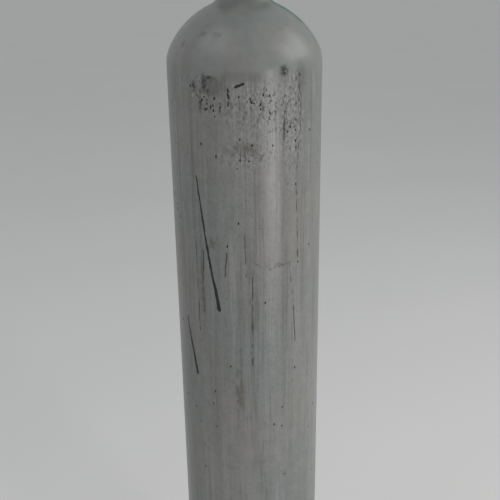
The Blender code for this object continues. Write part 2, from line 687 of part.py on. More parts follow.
def make_plug(valve):
    """The screw plug that closes the seat, with a slot on top and a soft pad below."""
    shoulder = PLUG_BOTTOM + PLUG_NOSE_HEIGHT
    plug = turned(
        "valve_plug",
        [
            (0, PLUG_TOP),
            (CHAMBER_RADIUS - FIT_GAP - CHAMFER, PLUG_TOP),
            (CHAMBER_RADIUS - FIT_GAP, PLUG_TOP - CHAMFER),
            (CHAMBER_RADIUS - FIT_GAP, shoulder),
            (PLUG_NOSE_RADIUS, shoulder),
            (PLUG_NOSE_RADIUS, PLUG_BOTTOM),
            (0, PLUG_BOTTOM),
        ],
        BRASS,
        valve,
        SMALL_STEPS,
    )
    slot = prism(
        "plug_slot",
        rectangle(2 * CHAMBER_RADIUS + CUT_PAST, BLADE_THICKNESS + 2 * FIT_GAP),
        SLOT_BOTTOM,
        PLUG_TOP + CUT_PAST,
        parent=valve,
    )
    pad_top = PLUG_BOTTOM + SEAT_PAD_HEIGHT
    pocket = turned(
        "pad_pocket",
        disc_outline(SEAT_PAD_RADIUS + FIT_GAP, PLUG_BOTTOM - CUT_PAST, pad_top + FIT_GAP, 0),
        None,
        valve,
        SMALL_STEPS,
    )
    cut(plug, slot, pocket)
    pad = disc_outline(SEAT_PAD_RADIUS, PLUG_BOTTOM, pad_top, SOFT_EDGE)
    turned("seat_pad", pad, NYLON, valve, SMALL_STEPS)


def make_stem(valve):
    """Drive blade, stem, gasket and bonnet. The stem only turns, and the blade carries its turning to the plug."""
    prism("drive_blade", rectangle(BLADE_WIDTH, BLADE_THICKNESS), BLADE_BOTTOM, BLADE_TOP, BARE_STEEL, valve)
    square_bottom = WHEEL_BOTTOM - FIT_GAP
    stem = turned(
        "valve_stem",
        [
            (0, STEM_TOP),
            (STEM_THREAD_RADIUS - CHAMFER, STEM_TOP),
            (STEM_THREAD_RADIUS, STEM_TOP - CHAMFER),
            (STEM_THREAD_RADIUS, square_bottom),
            (STEM_RADIUS, square_bottom),
            (STEM_RADIUS, STEM_FLANGE_TOP),
            (STEM_FLANGE_RADIUS, STEM_FLANGE_TOP),
            (STEM_FLANGE_RADIUS, STEM_BOTTOM),
            (0, STEM_BOTTOM),
        ],
        BRASS,
        valve,
        SMALL_STEPS,
    )
    square = prism(
        "stem_square", rectangle(STEM_SQUARE, STEM_SQUARE), square_bottom - SUNK, SQUARE_TOP, parent=valve
    )
    slot = prism(
        "stem_slot",
        rectangle(2 * CHAMBER_RADIUS + CUT_PAST, BLADE_THICKNESS + 2 * FIT_GAP),
        STEM_BOTTOM - CUT_PAST,
        STEM_BOTTOM + STEM_SLOT_DEPTH,
        parent=valve,
    )
    join(stem, square)
    cut(stem, slot)
    gasket = ring_outline(
        STEM_RADIUS + FIT_GAP, STEM_FLANGE_RADIUS + FIT_GAP, STEM_FLANGE_TOP + FIT_GAP, GASKET_TOP, SHEET_EDGE
    )
    turned("stem_gasket", gasket, NYLON, valve, SMALL_STEPS)
    bonnet = prism("bonnet_nut", hexagon(BONNET_FLATS), BONNET_HEAD, BONNET_TOP, BRASS, valve)
    shank = turned(
        "bonnet_shank",
        disc_outline(CHAMBER_RADIUS + LEDGE_WIDTH - FIT_GAP, BONNET_BOTTOM, BONNET_HEAD + SUNK, 0),
        None,
        valve,
        SMALL_STEPS,
    )
    recess = SPRING_RADIUS + SPRING_WIRE_RADIUS + 2 * FIT_GAP
    bore = turned(
        "bonnet_bore",
        [
            (0, BONNET_TOP + CUT_PAST),
            (recess, BONNET_TOP + CUT_PAST),
            (recess, BONNET_TOP - SPRING_RECESS),
            (STEM_RADIUS + FIT_GAP, BONNET_TOP - SPRING_RECESS),
            (STEM_RADIUS + FIT_GAP, BONNET_BOTTOM - CUT_PAST),
            (0, BONNET_BOTTOM - CUT_PAST),
        ],
        None,
        valve,
        SMALL_STEPS,
    )
    crown = turned("bonnet_crown", crown_outline(BONNET_FLATS, BONNET_BOTTOM, BONNET_TOP), None, valve)
    join(bonnet, shank)
    combine(bonnet, crown, "INTERSECT")
    cut(bonnet, bore)


def make_spring(valve):
    """Coil spring in the bonnet's recess, which holds the handwheel and stem up."""
    turn_points = 14
    rise = SPRING_HEIGHT - 2 * SPRING_WIRE_RADIUS
    count = SPRING_TURNS * turn_points + 1
    curve = bpy.data.curves.new("handwheel_spring", "CURVE")
    curve.dimensions = "3D"
    curve.bevel_depth = SPRING_WIRE_RADIUS
    curve.bevel_resolution = 1
    curve.use_fill_caps = True
    coil = curve.splines.new("POLY")
    coil.points.add(count - 1)
    for i, point in enumerate(coil.points):
        angle = 2 * math.pi * i / turn_points
        height = SPRING_BOTTOM + SPRING_WIRE_RADIUS + rise * i / (count - 1)
        point.co = (SPRING_RADIUS * math.cos(angle), SPRING_RADIUS * math.sin(angle), height, 1)
    link("handwheel_spring", curve, BARE_STEEL, valve)


def make_handwheel(valve):
    """Hub, web and rim in one casting, with finger grips round the rim, and the washer and nut that hold it."""
    rim_inner = WHEEL_RADIUS - WHEEL_RIM_WIDTH
    web_top = WHEEL_BOTTOM + (WHEEL_HUB_HEIGHT + WHEEL_WEB_HEIGHT) / 2
    web_bottom = web_top - WHEEL_WEB_HEIGHT
    rim_top = WHEEL_BOTTOM + (WHEEL_HUB_HEIGHT + WHEEL_RIM_HEIGHT) / 2
    rim_bottom = rim_top - WHEEL_RIM_HEIGHT
    edge = 2 * CHAMFER
    wheel = turned(
        "handwheel",
        [
            (0, WHEEL_TOP),
            (WHEEL_HUB_RADIUS - CHAMFER, WHEEL_TOP),
            (WHEEL_HUB_RADIUS, web_top),
            (rim_inner, web_top),
            (rim_inner + CHAMFER, rim_top),
            (WHEEL_RADIUS - edge, rim_top),
            (WHEEL_RADIUS, rim_top - edge),
            (WHEEL_RADIUS, rim_bottom + edge),
            (WHEEL_RADIUS - edge, rim_bottom),
            (rim_inner + CHAMFER, rim_bottom),
            (rim_inner, web_bottom),
            (WHEEL_HUB_RADIUS, web_bottom),
            (WHEEL_HUB_RADIUS - CHAMFER, WHEEL_BOTTOM),
            (0, WHEEL_BOTTOM),
        ],
        ALLOY,
        valve,
        steps=BIG_STEPS,
    )
    side = STEM_SQUARE + 2 * FIT_GAP
    bore = prism("wheel_bore", rectangle(side, side), WHEEL_BOTTOM - CUT_PAST, WHEEL_TOP + CUT_PAST, parent=valve)
    cut(wheel, bore)
    grip_distance = WHEEL_RADIUS + WHEEL_GRIP_RADIUS - WHEEL_GRIP_DEPTH
    hole_distance = (WHEEL_HUB_RADIUS + rim_inner) / 2
    patterns = (
        ("wheel_grip", WHEEL_GRIPS, grip_distance, WHEEL_GRIP_RADIUS, GRIP_STEPS),
        ("wheel_hole", WHEEL_HOLES, hole_distance, WHEEL_HOLE_RADIUS, HOLE_STEPS),
    )
    for name, count, distance, radius, steps in patterns:
        for i in range(count):
            angle = 2 * math.pi * (i + 0.5) / count
            place = (distance * math.cos(angle), distance * math.sin(angle), 0)
            outline = disc_outline(radius, WHEEL_BOTTOM - CUT_PAST, WHEEL_TOP + CUT_PAST, 0)
            cut(wheel, turned(f"{name}_{i + 1}", outline, None, valve, steps, place))
    bolt = STEM_THREAD_RADIUS + FIT_GAP
    washer = ring_outline(bolt, WASHER_RADIUS, WASHER_BOTTOM, WASHER_BOTTOM + WASHER_THICKNESS, SHEET_EDGE)
    turned("handwheel_washer", washer, BARE_STEEL, valve, SMALL_STEPS)
    nut_top = NUT_BOTTOM + NUT_HEIGHT
    nut = prism("handwheel_nut", hexagon(NUT_FLATS), NUT_BOTTOM, nut_top, BARE_STEEL, valve)
    thread_outline = disc_outline(bolt, NUT_BOTTOM - CUT_PAST, nut_top + CUT_PAST, 0)
    thread = turned("nut_bore", thread_outline, None, valve, SMALL_STEPS)
    cut(nut, thread)


# Outlet cap and relief -----------------------------------------------------------------------------------------------


def make_outlet_cap(outlet):
    """Dust cap over the outlet's thread, with a washer inside and grip flutes outside."""
    face = OUTLET_BOSS_REACH + OUTLET_THREAD_LENGTH
    washer_bottom = face + FIT_GAP
    washer_top = washer_bottom + CAP_WASHER_THICKNESS
    turned(
        "outlet_washer",
        disc_outline(CAP_WASHER_RADIUS, washer_bottom, washer_top, SOFT_EDGE),
        NYLON,
        outlet,
        SMALL_STEPS,
    )
    bottom = OUTLET_BOSS_REACH + 2 * FIT_GAP
    inside_top = washer_top + FIT_GAP
    inner = OUTLET_THREAD_RADIUS + FIT_GAP
    top = inside_top + CAP_END
    cap = turned(
        "outlet_cap",
        [
            (0, top),
            (CAP_RADIUS - 2 * CHAMFER, top),
            (CAP_RADIUS, top - 2 * CHAMFER),
            (CAP_RADIUS, bottom + CHAMFER),
            (CAP_RADIUS - CHAMFER, bottom),
            (inner, bottom),
            (inner, inside_top),
            (0, inside_top),
        ],
        BRASS,
        outlet,
    )
    for i in range(CAP_GRIPS):
        angle = 2 * math.pi * (i + 0.5) / CAP_GRIPS
        distance = CAP_RADIUS + CAP_GRIP_RADIUS / 2
        place = (distance * math.cos(angle), distance * math.sin(angle), 0)
        outline = disc_outline(CAP_GRIP_RADIUS, bottom + CAP_GRIP_START, top + CUT_PAST, 0)
        cut(cap, turned(f"cap_flute_{i + 1}", outline, None, outlet, FLUTE_STEPS, place))


def make_relief(relief):
    """Gasket, burst disc, and the vented plug that clamps them."""
    radius = RELIEF_BORE_RADIUS - FIT_GAP
    gasket_bottom = RELIEF_BORE_START + FIT_GAP
    gasket_top = gasket_bottom + RELIEF_GASKET_THICKNESS
    gasket = ring_outline(RELIEF_PASSAGE_RADIUS + FIT_GAP, radius, gasket_bottom, gasket_top, FOIL_EDGE)
    turned("relief_gasket", gasket, COPPER, relief, SMALL_STEPS)
    disc_bottom = gasket_top + FIT_GAP
    disc_top = disc_bottom + BURST_DISC_THICKNESS
    turned("burst_disc", disc_outline(radius, disc_bottom, disc_top, FOIL_EDGE), COPPER, relief, SMALL_STEPS)
    shank_bottom = disc_top + FIT_GAP
    head_bottom = RELIEF_BOSS_REACH + FIT_GAP
    head_top = head_bottom + RELIEF_HEAD
    plug = prism("relief_plug", hexagon(RELIEF_FLATS), head_bottom, head_top, BRASS, relief)
    shank_outline = disc_outline(radius, shank_bottom, head_bottom + SUNK, 0)
    shank = turned("relief_shank", shank_outline, None, relief, SMALL_STEPS)
    crown = turned("relief_crown", crown_outline(RELIEF_FLATS, shank_bottom, head_top), None, relief)
    join(plug, shank)
    combine(plug, crown, "INTERSECT")
    vent_level = (head_bottom + head_top) / 2
    bore = turned(
        "relief_plug_bore",
        disc_outline(RELIEF_PASSAGE_RADIUS, shank_bottom - CUT_PAST, vent_level + RELIEF_PASSAGE_RADIUS, 0),
        None,
        relief,
        SMALL_STEPS,
    )
    cut(plug, bore)
    for i, turn in enumerate((0, math.pi / 2)):
        facing = axis_empty(f"vent_axis_{i + 1}", (0, 0, vent_level), (math.pi / 2, 0, turn), relief)
        outline = disc_outline(RELIEF_VENT_RADIUS, -RELIEF_FLATS, RELIEF_FLATS, 0)
        vent = turned(f"vent_cutter_{i + 1}", outline, None, facing, HOLE_STEPS)
        cut(plug, vent)


def main():
    clear_scene()
    valve = axis_empty("valve_axis", (0, 0, NECK_TOP))
    outlet = axis_empty("outlet_axis", (0, 0, OUTLET_HEIGHT), (math.pi / 2, 0, 0), valve)
    relief = axis_empty("relief_axis", (0, 0, RELIEF_HEIGHT), (-math.pi / 2, 0, 0), valve)
    make_shell_and_rings(valve)
    make_guard(valve)
    make_valve_body(valve, outlet, relief)
    make_inlet_pieces(valve)
    make_plug(valve)
    make_stem(valve)
    make_spring(valve)
    make_handwheel(valve)
    make_outlet_cap(outlet)
    make_relief(relief)


main()
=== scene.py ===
"""The looks of a 40 litre oxygen cylinder, built round its CAD frame: a scuffed painted shell, foot ring, open guard,
and a brass valve with its handwheel, outlet cap and pressure relief.

Lengths are in metres and +Z is up. The cylinder stands on its foot ring at the origin, and its outlet faces -Y. An
angle round the cylinder is measured from -Y towards +X.
"""

import math
from functools import reduce

import bmesh
import bpy
import numpy as np
from bpy.props import FloatProperty, FloatVectorProperty, IntProperty, PointerProperty
from mathutils import Matrix, Vector


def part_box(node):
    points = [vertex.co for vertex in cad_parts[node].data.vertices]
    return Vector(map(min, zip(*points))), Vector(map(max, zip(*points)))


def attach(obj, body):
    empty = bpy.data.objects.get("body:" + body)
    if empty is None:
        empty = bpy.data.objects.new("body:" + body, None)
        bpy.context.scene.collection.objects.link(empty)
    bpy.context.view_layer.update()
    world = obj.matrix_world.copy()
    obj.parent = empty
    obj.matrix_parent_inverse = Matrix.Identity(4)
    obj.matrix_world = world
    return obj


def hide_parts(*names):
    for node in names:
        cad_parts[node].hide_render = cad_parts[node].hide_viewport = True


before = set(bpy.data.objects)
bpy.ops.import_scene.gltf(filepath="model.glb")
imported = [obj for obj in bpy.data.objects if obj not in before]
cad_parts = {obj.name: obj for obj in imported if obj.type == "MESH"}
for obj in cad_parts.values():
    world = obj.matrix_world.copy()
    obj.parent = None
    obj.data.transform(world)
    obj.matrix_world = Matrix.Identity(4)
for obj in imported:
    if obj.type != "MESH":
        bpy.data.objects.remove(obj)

bl_info = {
    "name": "Oxygen Cylinder Looks",
    "version": (1, 0, 0),
    "blender": (4, 5, 0),
    "location": "3D View > Sidebar > Cylinder",
    "description": "Builds the visible surfaces and finishes of an oxygen cylinder round its CAD frame",
    "category": "Object",
}

MM = 0.001
FULL_TURN = 2 * math.pi
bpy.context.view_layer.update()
NECK_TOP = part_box("cylinder_shell")[1].z
OUTLET_AXIS = sum(corner.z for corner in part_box("outlet_cap")) / 2
RELIEF_AXIS = sum(corner.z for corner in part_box("relief_plug")) / 2
AIM = 1.05  # height that the lights point at
WELD = 0.002 * MM  # points closer than this are one point
SEAT_GAP = 0.3 * MM  # between pieces that fit in each other
OUTLET_THREAD = 11.45 * MM  # radius of the outlet's thread
OUTLET_PITCH = 1.814 * MM
BARREL = 16.5 * MM  # valve body's upright barrel
CHAMBER = 10.3 * MM  # bore that the plug rises in
SPINDLE_BORE = 5.05 * MM
SPINDLE_END = 3 * MM  # threaded end that the handwheel's nut holds
RELIEF_BORE = 2.5 * MM
TEST_RING_BORE = 14.5 * MM
WASHER_BORE = 3.3 * MM  # in the handwheel's washer and nut

# Places of the axes that turned pieces are made on. Each piece is drawn about its own +Z first.
UPRIGHT = Matrix.Identity(4)
FRONT = Matrix.Translation((0, 0, OUTLET_AXIS)) @ Matrix.Rotation(math.pi / 2, 4, "X")
ACROSS = Matrix.Rotation(math.pi / 2, 4, "Y")
BACK = Matrix.Translation((0, 0, RELIEF_AXIS)) @ Matrix.Rotation(-math.pi / 2, 4, "X")


# Sizes and colours that a user would change -------------------------------------------------------


def length(name, description, default):
    return FloatProperty(name=name, description=description, default=default, min=0, unit="LENGTH", precision=5)


def share(name, description, default):
    return FloatProperty(name=name, description=description, default=default, min=0, max=1, subtype="FACTOR")


def watts(name, description, default):
    return FloatProperty(name=name, description=description, default=default, min=0)


def colour(name, description, default):
    return FloatVectorProperty(
        name=name, description=description, default=default, min=0, max=1, size=3, subtype="COLOR"
    )


class ShellSettings(bpy.types.PropertyGroup):
    knuckle_radius: length("Knuckle radius", "Tight bend where the straight wall turns into the shoulder", 0.055)
    knuckle_turn: FloatProperty(
        name="Knuckle turn",
        description="Angle that the knuckle turns through",
        default=math.radians(27.6),
        subtype="ANGLE",
    )
    crown_radius: length("Crown radius", "Large bend of the shoulder above the knuckle", 0.118)
    neck_radius: length("Neck radius", "Outside of the neck", 0.034)
    neck_height: length("Neck height", "Straight part of the neck", 0.0348)
    neck_fillet: length("Neck fillet", "Bend between neck and shoulder", 0.02)
    base_height: length("Base height", "Depth of the rounded base below the straight wall", 0.075)
    wall: length("Wall", "Thickness of the straight wall", 0.0057)
    columns: IntProperty(name="Columns", description="Faces round the shell", default=280, min=24)


class PaintSettings(bpy.types.PropertyGroup):
    cool: colour("Cool grey", "The enamel where it is clean", (0.204, 0.222, 0.212))
    warm: colour("Warm grey", "The enamel where it is rubbed and faded", (0.24, 0.236, 0.224))
    scuffed: colour("Scuffed grey", "Chalky enamel where other cylinders have rubbed it", (0.36, 0.35, 0.35))
    chipped: colour("Chips", "Dark steel and rubber marks in chips and scratches", (0.012, 0.013, 0.012))
    grime: colour("Grime", "Brown dirt in the rubbed patches", (0.085, 0.07, 0.05))
    rust: colour("Rust", "Rust where steel is bare", (0.12, 0.05, 0.022))
    mark: colour("Paint mark", "Plain green mark at the shoulder", (0.03, 0.15, 0.07))
    wear: share("Wear", "How many chips and scuffs the paint has", 0.5)
    sheen: share("Roughness", "Roughness of clean enamel", 0.34)


class MetalSettings(bpy.types.PropertyGroup):
    brass: colour("Brass", "Machined brass", (0.66, 0.48, 0.2))
    tarnish: colour("Tarnish", "Brown film on old brass", (0.26, 0.15, 0.06))
    steel: colour("Steel", "Turned steel", (0.36, 0.35, 0.34))
    zinc: colour("Zinc", "Zinc plate on nuts, washers and screws", (0.56, 0.56, 0.55))
    copper: colour("Copper", "Soft copper", (0.64, 0.3, 0.18))


class HandwheelSettings(bpy.types.PropertyGroup):
    grips: IntProperty(name="Grips", description="Finger grips round the rim", default=10, min=3)
    grip_depth: length("Grip depth", "How deep a finger grip is", 0.0024)
    holes: IntProperty(name="Holes", description="Holes through the web", default=5, min=0)
    hole_radius: length("Hole radius", "Radius of a hole through the web", 0.0042)
    enamel: colour("Enamel", "Stove enamel on the light alloy", (0.03, 0.105, 0.055))


class PlasticSettings(bpy.types.PropertyGroup):
    ring: colour("Test ring", "Moulded test ring below the valve", (0.04, 0.24, 0.1))
    nylon: colour("Nylon", "Seals and washers", (0.78, 0.76, 0.7))


class StageSettings(bpy.types.PropertyGroup):
    floor: colour("Floor", "Plain pale floor", (0.8, 0.8, 0.79))
    ambient: share("Ambient", "Strength of the even light", 0.45)
    strip: watts("Strip light", "Power of the tall narrow light, in watts", 11.5)
    side: watts("Side light", "Power of the broad light on the right, in watts", 27)
    fill: watts("Fill light", "Power of the soft light on the left, in watts", 10)


# Surfaces -----------------------------------------------------------------------------------------


def arc(centre, radius, start, end, steps):
    """Points centre + radius (cos a, sin a), with a running evenly from start to end in degrees."""
    angle = np.radians(np.linspace(start, end, steps + 1))
    return np.column_stack((centre[0] + radius * np.cos(angle), centre[1] + radius * np.sin(angle)))


def rounded(corners, steps=4):
    """Profile through (r, z, rounding) corners. Each rounding is the arc that touches both sides of its corner, with
    its centre on the line that halves the corner."""
    points = [np.array([corners[0][:2]])]
    for before, (r, z, rounding), after in zip(corners, corners[1:], corners[2:], strict=False):
        corner = np.array((r, z))
        back, ahead = np.subtract(before[:2], corner), np.subtract(after[:2], corner)
        room = min(np.linalg.norm(back), np.linalg.norm(ahead))
        back, ahead = back / np.linalg.norm(back), ahead / np.linalg.norm(ahead)
        half = np.arccos(np.clip(back @ ahead, -1, 1)) / 2
        rounding = min(rounding, 0.45 * room * np.tan(half))
        if rounding < WELD or half > 1.55:
            points.append(corner[None])
            continue
        centre = corner + (back + ahead) / np.linalg.norm(back + ahead) * rounding / np.sin(half)
        start = corner + back * rounding / np.tan(half) - centre
        end = corner + ahead * rounding / np.tan(half) - centre
        first, last = (np.degrees(np.arctan2(edge[1], edge[0])) for edge in (start, end))
        points.append(arc(centre, rounding, first, first + (last - first + 180) % 360 - 180, steps))
    points.append(np.array([corners[-1][:2]]))
    return np.concatenate(points)


def spaced(profile, spacing):
    """The same profile with points added evenly in each stretch that is longer than spacing."""
    steps = np.linalg.norm(np.diff(profile, axis=0), axis=1)
    counts = np.maximum(np.ceil(steps / spacing), 1).astype(int)
    index = np.repeat(np.arange(len(steps)), counts)
    within = np.arange(counts.sum()) - np.repeat(np.cumsum(counts) - counts, counts)
    part = (within / counts[index])[:, None]
    return np.vstack((profile[index] * (1 - part) + profile[index + 1] * part, profile[-1:]))


def convexity(profile, reach=1.2 * MM):
    """How sharply a profile turns outwards at each point, 1 for a bend as tight as reach and 0 where it is straight
    or hollow: the turn between the two stretches beside a point over their mean length."""
    ahead = np.diff(profile, axis=0, append=profile[-1:])
    back = np.roll(ahead, 1, axis=0)
    turn = back[:, 1] * ahead[:, 0] - back[:, 0] * ahead[:, 1]
    size = np.linalg.norm(back, axis=1) * np.linalg.norm(ahead, axis=1)
    mean = (np.linalg.norm(back, axis=1) + np.linalg.norm(ahead, axis=1)) / 2
    bend = np.where(size > 0, turn / np.maximum(size, 1e-12), 0) / np.maximum(mean, 1e-6)
    bend[0] = bend[-1] = 0
    return np.clip(bend * reach, 0, 1)


def round_angles(columns):
    """Angles of the columns of a turned grid. They start at +Y, so that the seam is at the back."""
    return math.pi / 2 + np.arange(columns) * FULL_TURN / columns


def turned(profile, columns):
    """Grid of (r cos a, r sin a, z): a row for each (r, z) of the profile and a column for each angle a."""
    angle = round_angles(columns)
    r, z = profile[:, :1], profile[:, 1:]
    return np.stack((r * np.cos(angle), r * np.sin(angle), z + 0 * angle), axis=-1)


def lathe(columns, spacing, *corners):
    """Turned grid of the rounded profile through (r, z, rounding) corners, with points no further apart than
    spacing."""
    return turned(spaced(rounded(corners), spacing), columns)


def stretched(grid, scale):
    """The grid with each point's distance from the axis multiplied by its scale."""
    return grid * np.stack((scale, scale, np.ones_like(scale)), axis=-1)


def hexagon_corner(flats):
    """Radius of a hexagon's corners, from its width across flats."""
    return flats / 2 / math.cos(math.pi / 6)


def within(grid, limit, low=-np.inf, high=np.inf):
    """The turned grid with each point between two heights drawn in to the limit radius of its column, as if cut by an
    upright prism."""
    radius = np.hypot(grid[..., 0], grid[..., 1])
    inside = (grid[..., 2] >= low) & (grid[..., 2] <= high)
    scale = np.where(inside, np.minimum(1, limit / np.maximum(radius, 1e-9)), 1)
    return stretched(grid, scale)


def flat_sided(columns, sides, flats, corner=0.6 * MM):
    """Radius of a regular prism at each column: half its width across flats over the cosine of the angle from the
    middle of the nearest side, held back by corner at the edges."""
    step = FULL_TURN / sides
    off = (round_angles(columns) + step / 2) % step - step / 2
    return np.minimum(flats / 2 / np.cos(off), flats / 2 / math.cos(step / 2) - corner)


def threaded(grid, crest, pitch, depth, low, high):
    """The turned grid with a screw thread in every point at the crest radius between two heights. The radius there is
    crest - depth w, where w runs from 0 on a crest to 1 in a root as a clipped triangle wave of height over pitch
    less angle over a full turn, and fades out over a pitch at each end. A depth below 0 makes an inside thread."""
    radius = np.hypot(grid[..., 0], grid[..., 1])
    height = grid[..., 2]
    turns = height / pitch - np.arctan2(grid[..., 1], grid[..., 0]) / FULL_TURN
    wave = np.clip(np.abs(turns % 1 * 2 - 1) * 1.5 - 0.25, 0, 1)
    fade = np.clip((height - low) / pitch, 0, 1) * np.clip((high - height) / pitch, 0, 1)
    cut = np.where(np.abs(radius - crest) < 0.02 * MM, depth * wave * fade, 0)
    scale = 1 - cut / np.maximum(radius, 1e-9)
    return stretched(grid, scale)


def place(grid, where):
    matrix = np.array(where)
    return grid @ matrix[:3, :3].T + matrix[:3, 3]


def grid_faces(rows, columns):
    """Faces of a grid whose last column joins its first, as four point numbers each."""
    row, column = np.meshgrid(np.arange(rows - 1), np.arange(columns), indexing="ij")
    beside = (column + 1) % columns
    here, below = row * columns, (row + 1) * columns
    return np.stack((here + column, below + column, below + beside, here + beside), axis=-1).reshape(-1, 4)


def skin(name, grids, wear=None, unrolled=None, open_at=None):
    """One closed mesh from grids that wrap round. Points that meet are merged, which closes poles and seams.

    wear holds a grid of values from 0 to 1 for each grid, kept as the attribute of that name. unrolled holds the
    (columns + 1) distances round the piece for its UV map, whose other axis is height. open_at marks the faces of the
    first grid that are left out, because another grid takes their place.
    """
    points = np.concatenate([grid.reshape(-1, 3) for grid in grids])
    starts = np.cumsum([0] + [grid.shape[0] * grid.shape[1] for grid in grids])
    parts = [grid_faces(*grid.shape[:2]) + start for grid, start in zip(grids, starts[:-1], strict=True)]
    if open_at is not None:
        parts[0] = parts[0][~open_at.ravel()]
    faces = np.concatenate(parts)
    mesh = bpy.data.meshes.new(name)
    mesh.from_pydata(points, [], faces)
    if wear is not None:
        values = np.concatenate([np.broadcast_to(w, g.shape[:2]).ravel() for w, g in zip(wear, grids, strict=True)])
        mesh.attributes.new("wear", "FLOAT", "POINT").data.foreach_set("value", values.astype(np.float32))
    if unrolled is not None:
        rows, columns = grids[0].shape[:2]
        left = np.tile(np.arange(columns), rows - 1)
        across = np.stack((unrolled[left], unrolled[left], unrolled[left + 1], unrolled[left + 1]), axis=-1)
        layer = mesh.uv_layers.new(name="unrolled")
        heights = points[faces, 2]
        layer.data.foreach_set("uv", np.stack((across, heights), axis=-1).astype(np.float32).ravel())
    build = bmesh.new()
    build.from_mesh(mesh)
    bmesh.ops.remove_doubles(build, verts=build.verts, dist=WELD)
    bmesh.ops.dissolve_degenerate(build, edges=build.edges, dist=WELD)
    bmesh.ops.recalc_face_normals(build, faces=build.faces)
    build.to_mesh(mesh)
    build.free()
    return mesh


def piece(name, mesh, body, finish, sharp=35):
    """Shows a mesh as a piece that rides on a body and stands for the CAD node of its name."""
    obj = bpy.data.objects.new(f"{name}_surface", mesh)
    bpy.context.scene.collection.objects.link(obj)
    mesh.materials.clear()
    mesh.materials.append(finish)
    mesh.shade_smooth()
    mesh.set_sharp_from_angle(angle=math.radians(sharp))
    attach(obj, body)
    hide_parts(name)


def carve(mesh, steps):
    """The mesh after a list of (operation, other mesh) Booleans."""
    base = bpy.data.objects.new("carved", mesh)
    helpers = [base]
    bpy.context.scene.collection.objects.link(base)
    for operation, other in steps:
        helper = bpy.data.objects.new("tool", other)
        bpy.context.scene.collection.objects.link(helper)
        helpers.append(helper)
        step = base.modifiers.new(operation, "BOOLEAN")
        step.operation = operation
        step.object = helper
        step.solver = "EXACT"
    bpy.context.view_layer.update()
    result = bpy.data.meshes.new_from_object(base.evaluated_get(bpy.context.evaluated_depsgraph_get()))
    for helper in helpers:
        bpy.data.objects.remove(helper)
    return result


def bar(radius, bottom, top, where=UPRIGHT, columns=32):
    """A plain closed bar, as a tool for carve."""
    profile = np.array(((0, top), (radius, top), (radius, bottom), (0, bottom)))
    return skin("tool", [place(turned(profile, columns), where)])


def slab(width, depth, bottom, top, where=UPRIGHT):
    """A plain closed block, as a tool for carve."""
    corners = np.array(((-1, -1), (1, -1), (1, 1), (-1, 1))) * (width / 2, depth / 2)
    levels = ((0, top), (1, top), (1, bottom), (0, bottom))
    rows = [np.column_stack((corners * size, np.full(4, z))) for size, z in levels]
    return skin("tool", [place(np.array(rows), where)])


def coil(radius, wire, bottom, top, turns, columns=12):
    """Grid of a spring: wire swept along (radius cos a, radius sin a, z), with z rising evenly over the turns. The
    wire's circle lies across the line between outwards and upwards, and its ends close to points."""
    steps = 36 * turns
    angle = np.linspace(0, turns * FULL_TURN, steps + 1)
    height = np.linspace(bottom + wire, top - wire, steps + 1)
    out = np.stack((np.cos(angle), np.sin(angle), 0 * angle), axis=-1)
    turn = np.linspace(0, FULL_TURN, columns, endpoint=False)
    thickness = np.full(steps + 1, wire)
    thickness[[0, -1]] = 0
    centre = out * radius
    centre[:, 2] = height
    across = out[:, None] * np.cos(turn)[:, None] + np.array((0, 0, 1)) * np.sin(turn)[:, None]
    return centre[:, None] + across * thickness[:, None, None]


# Finishes -----------------------------------------------------------------------------------------


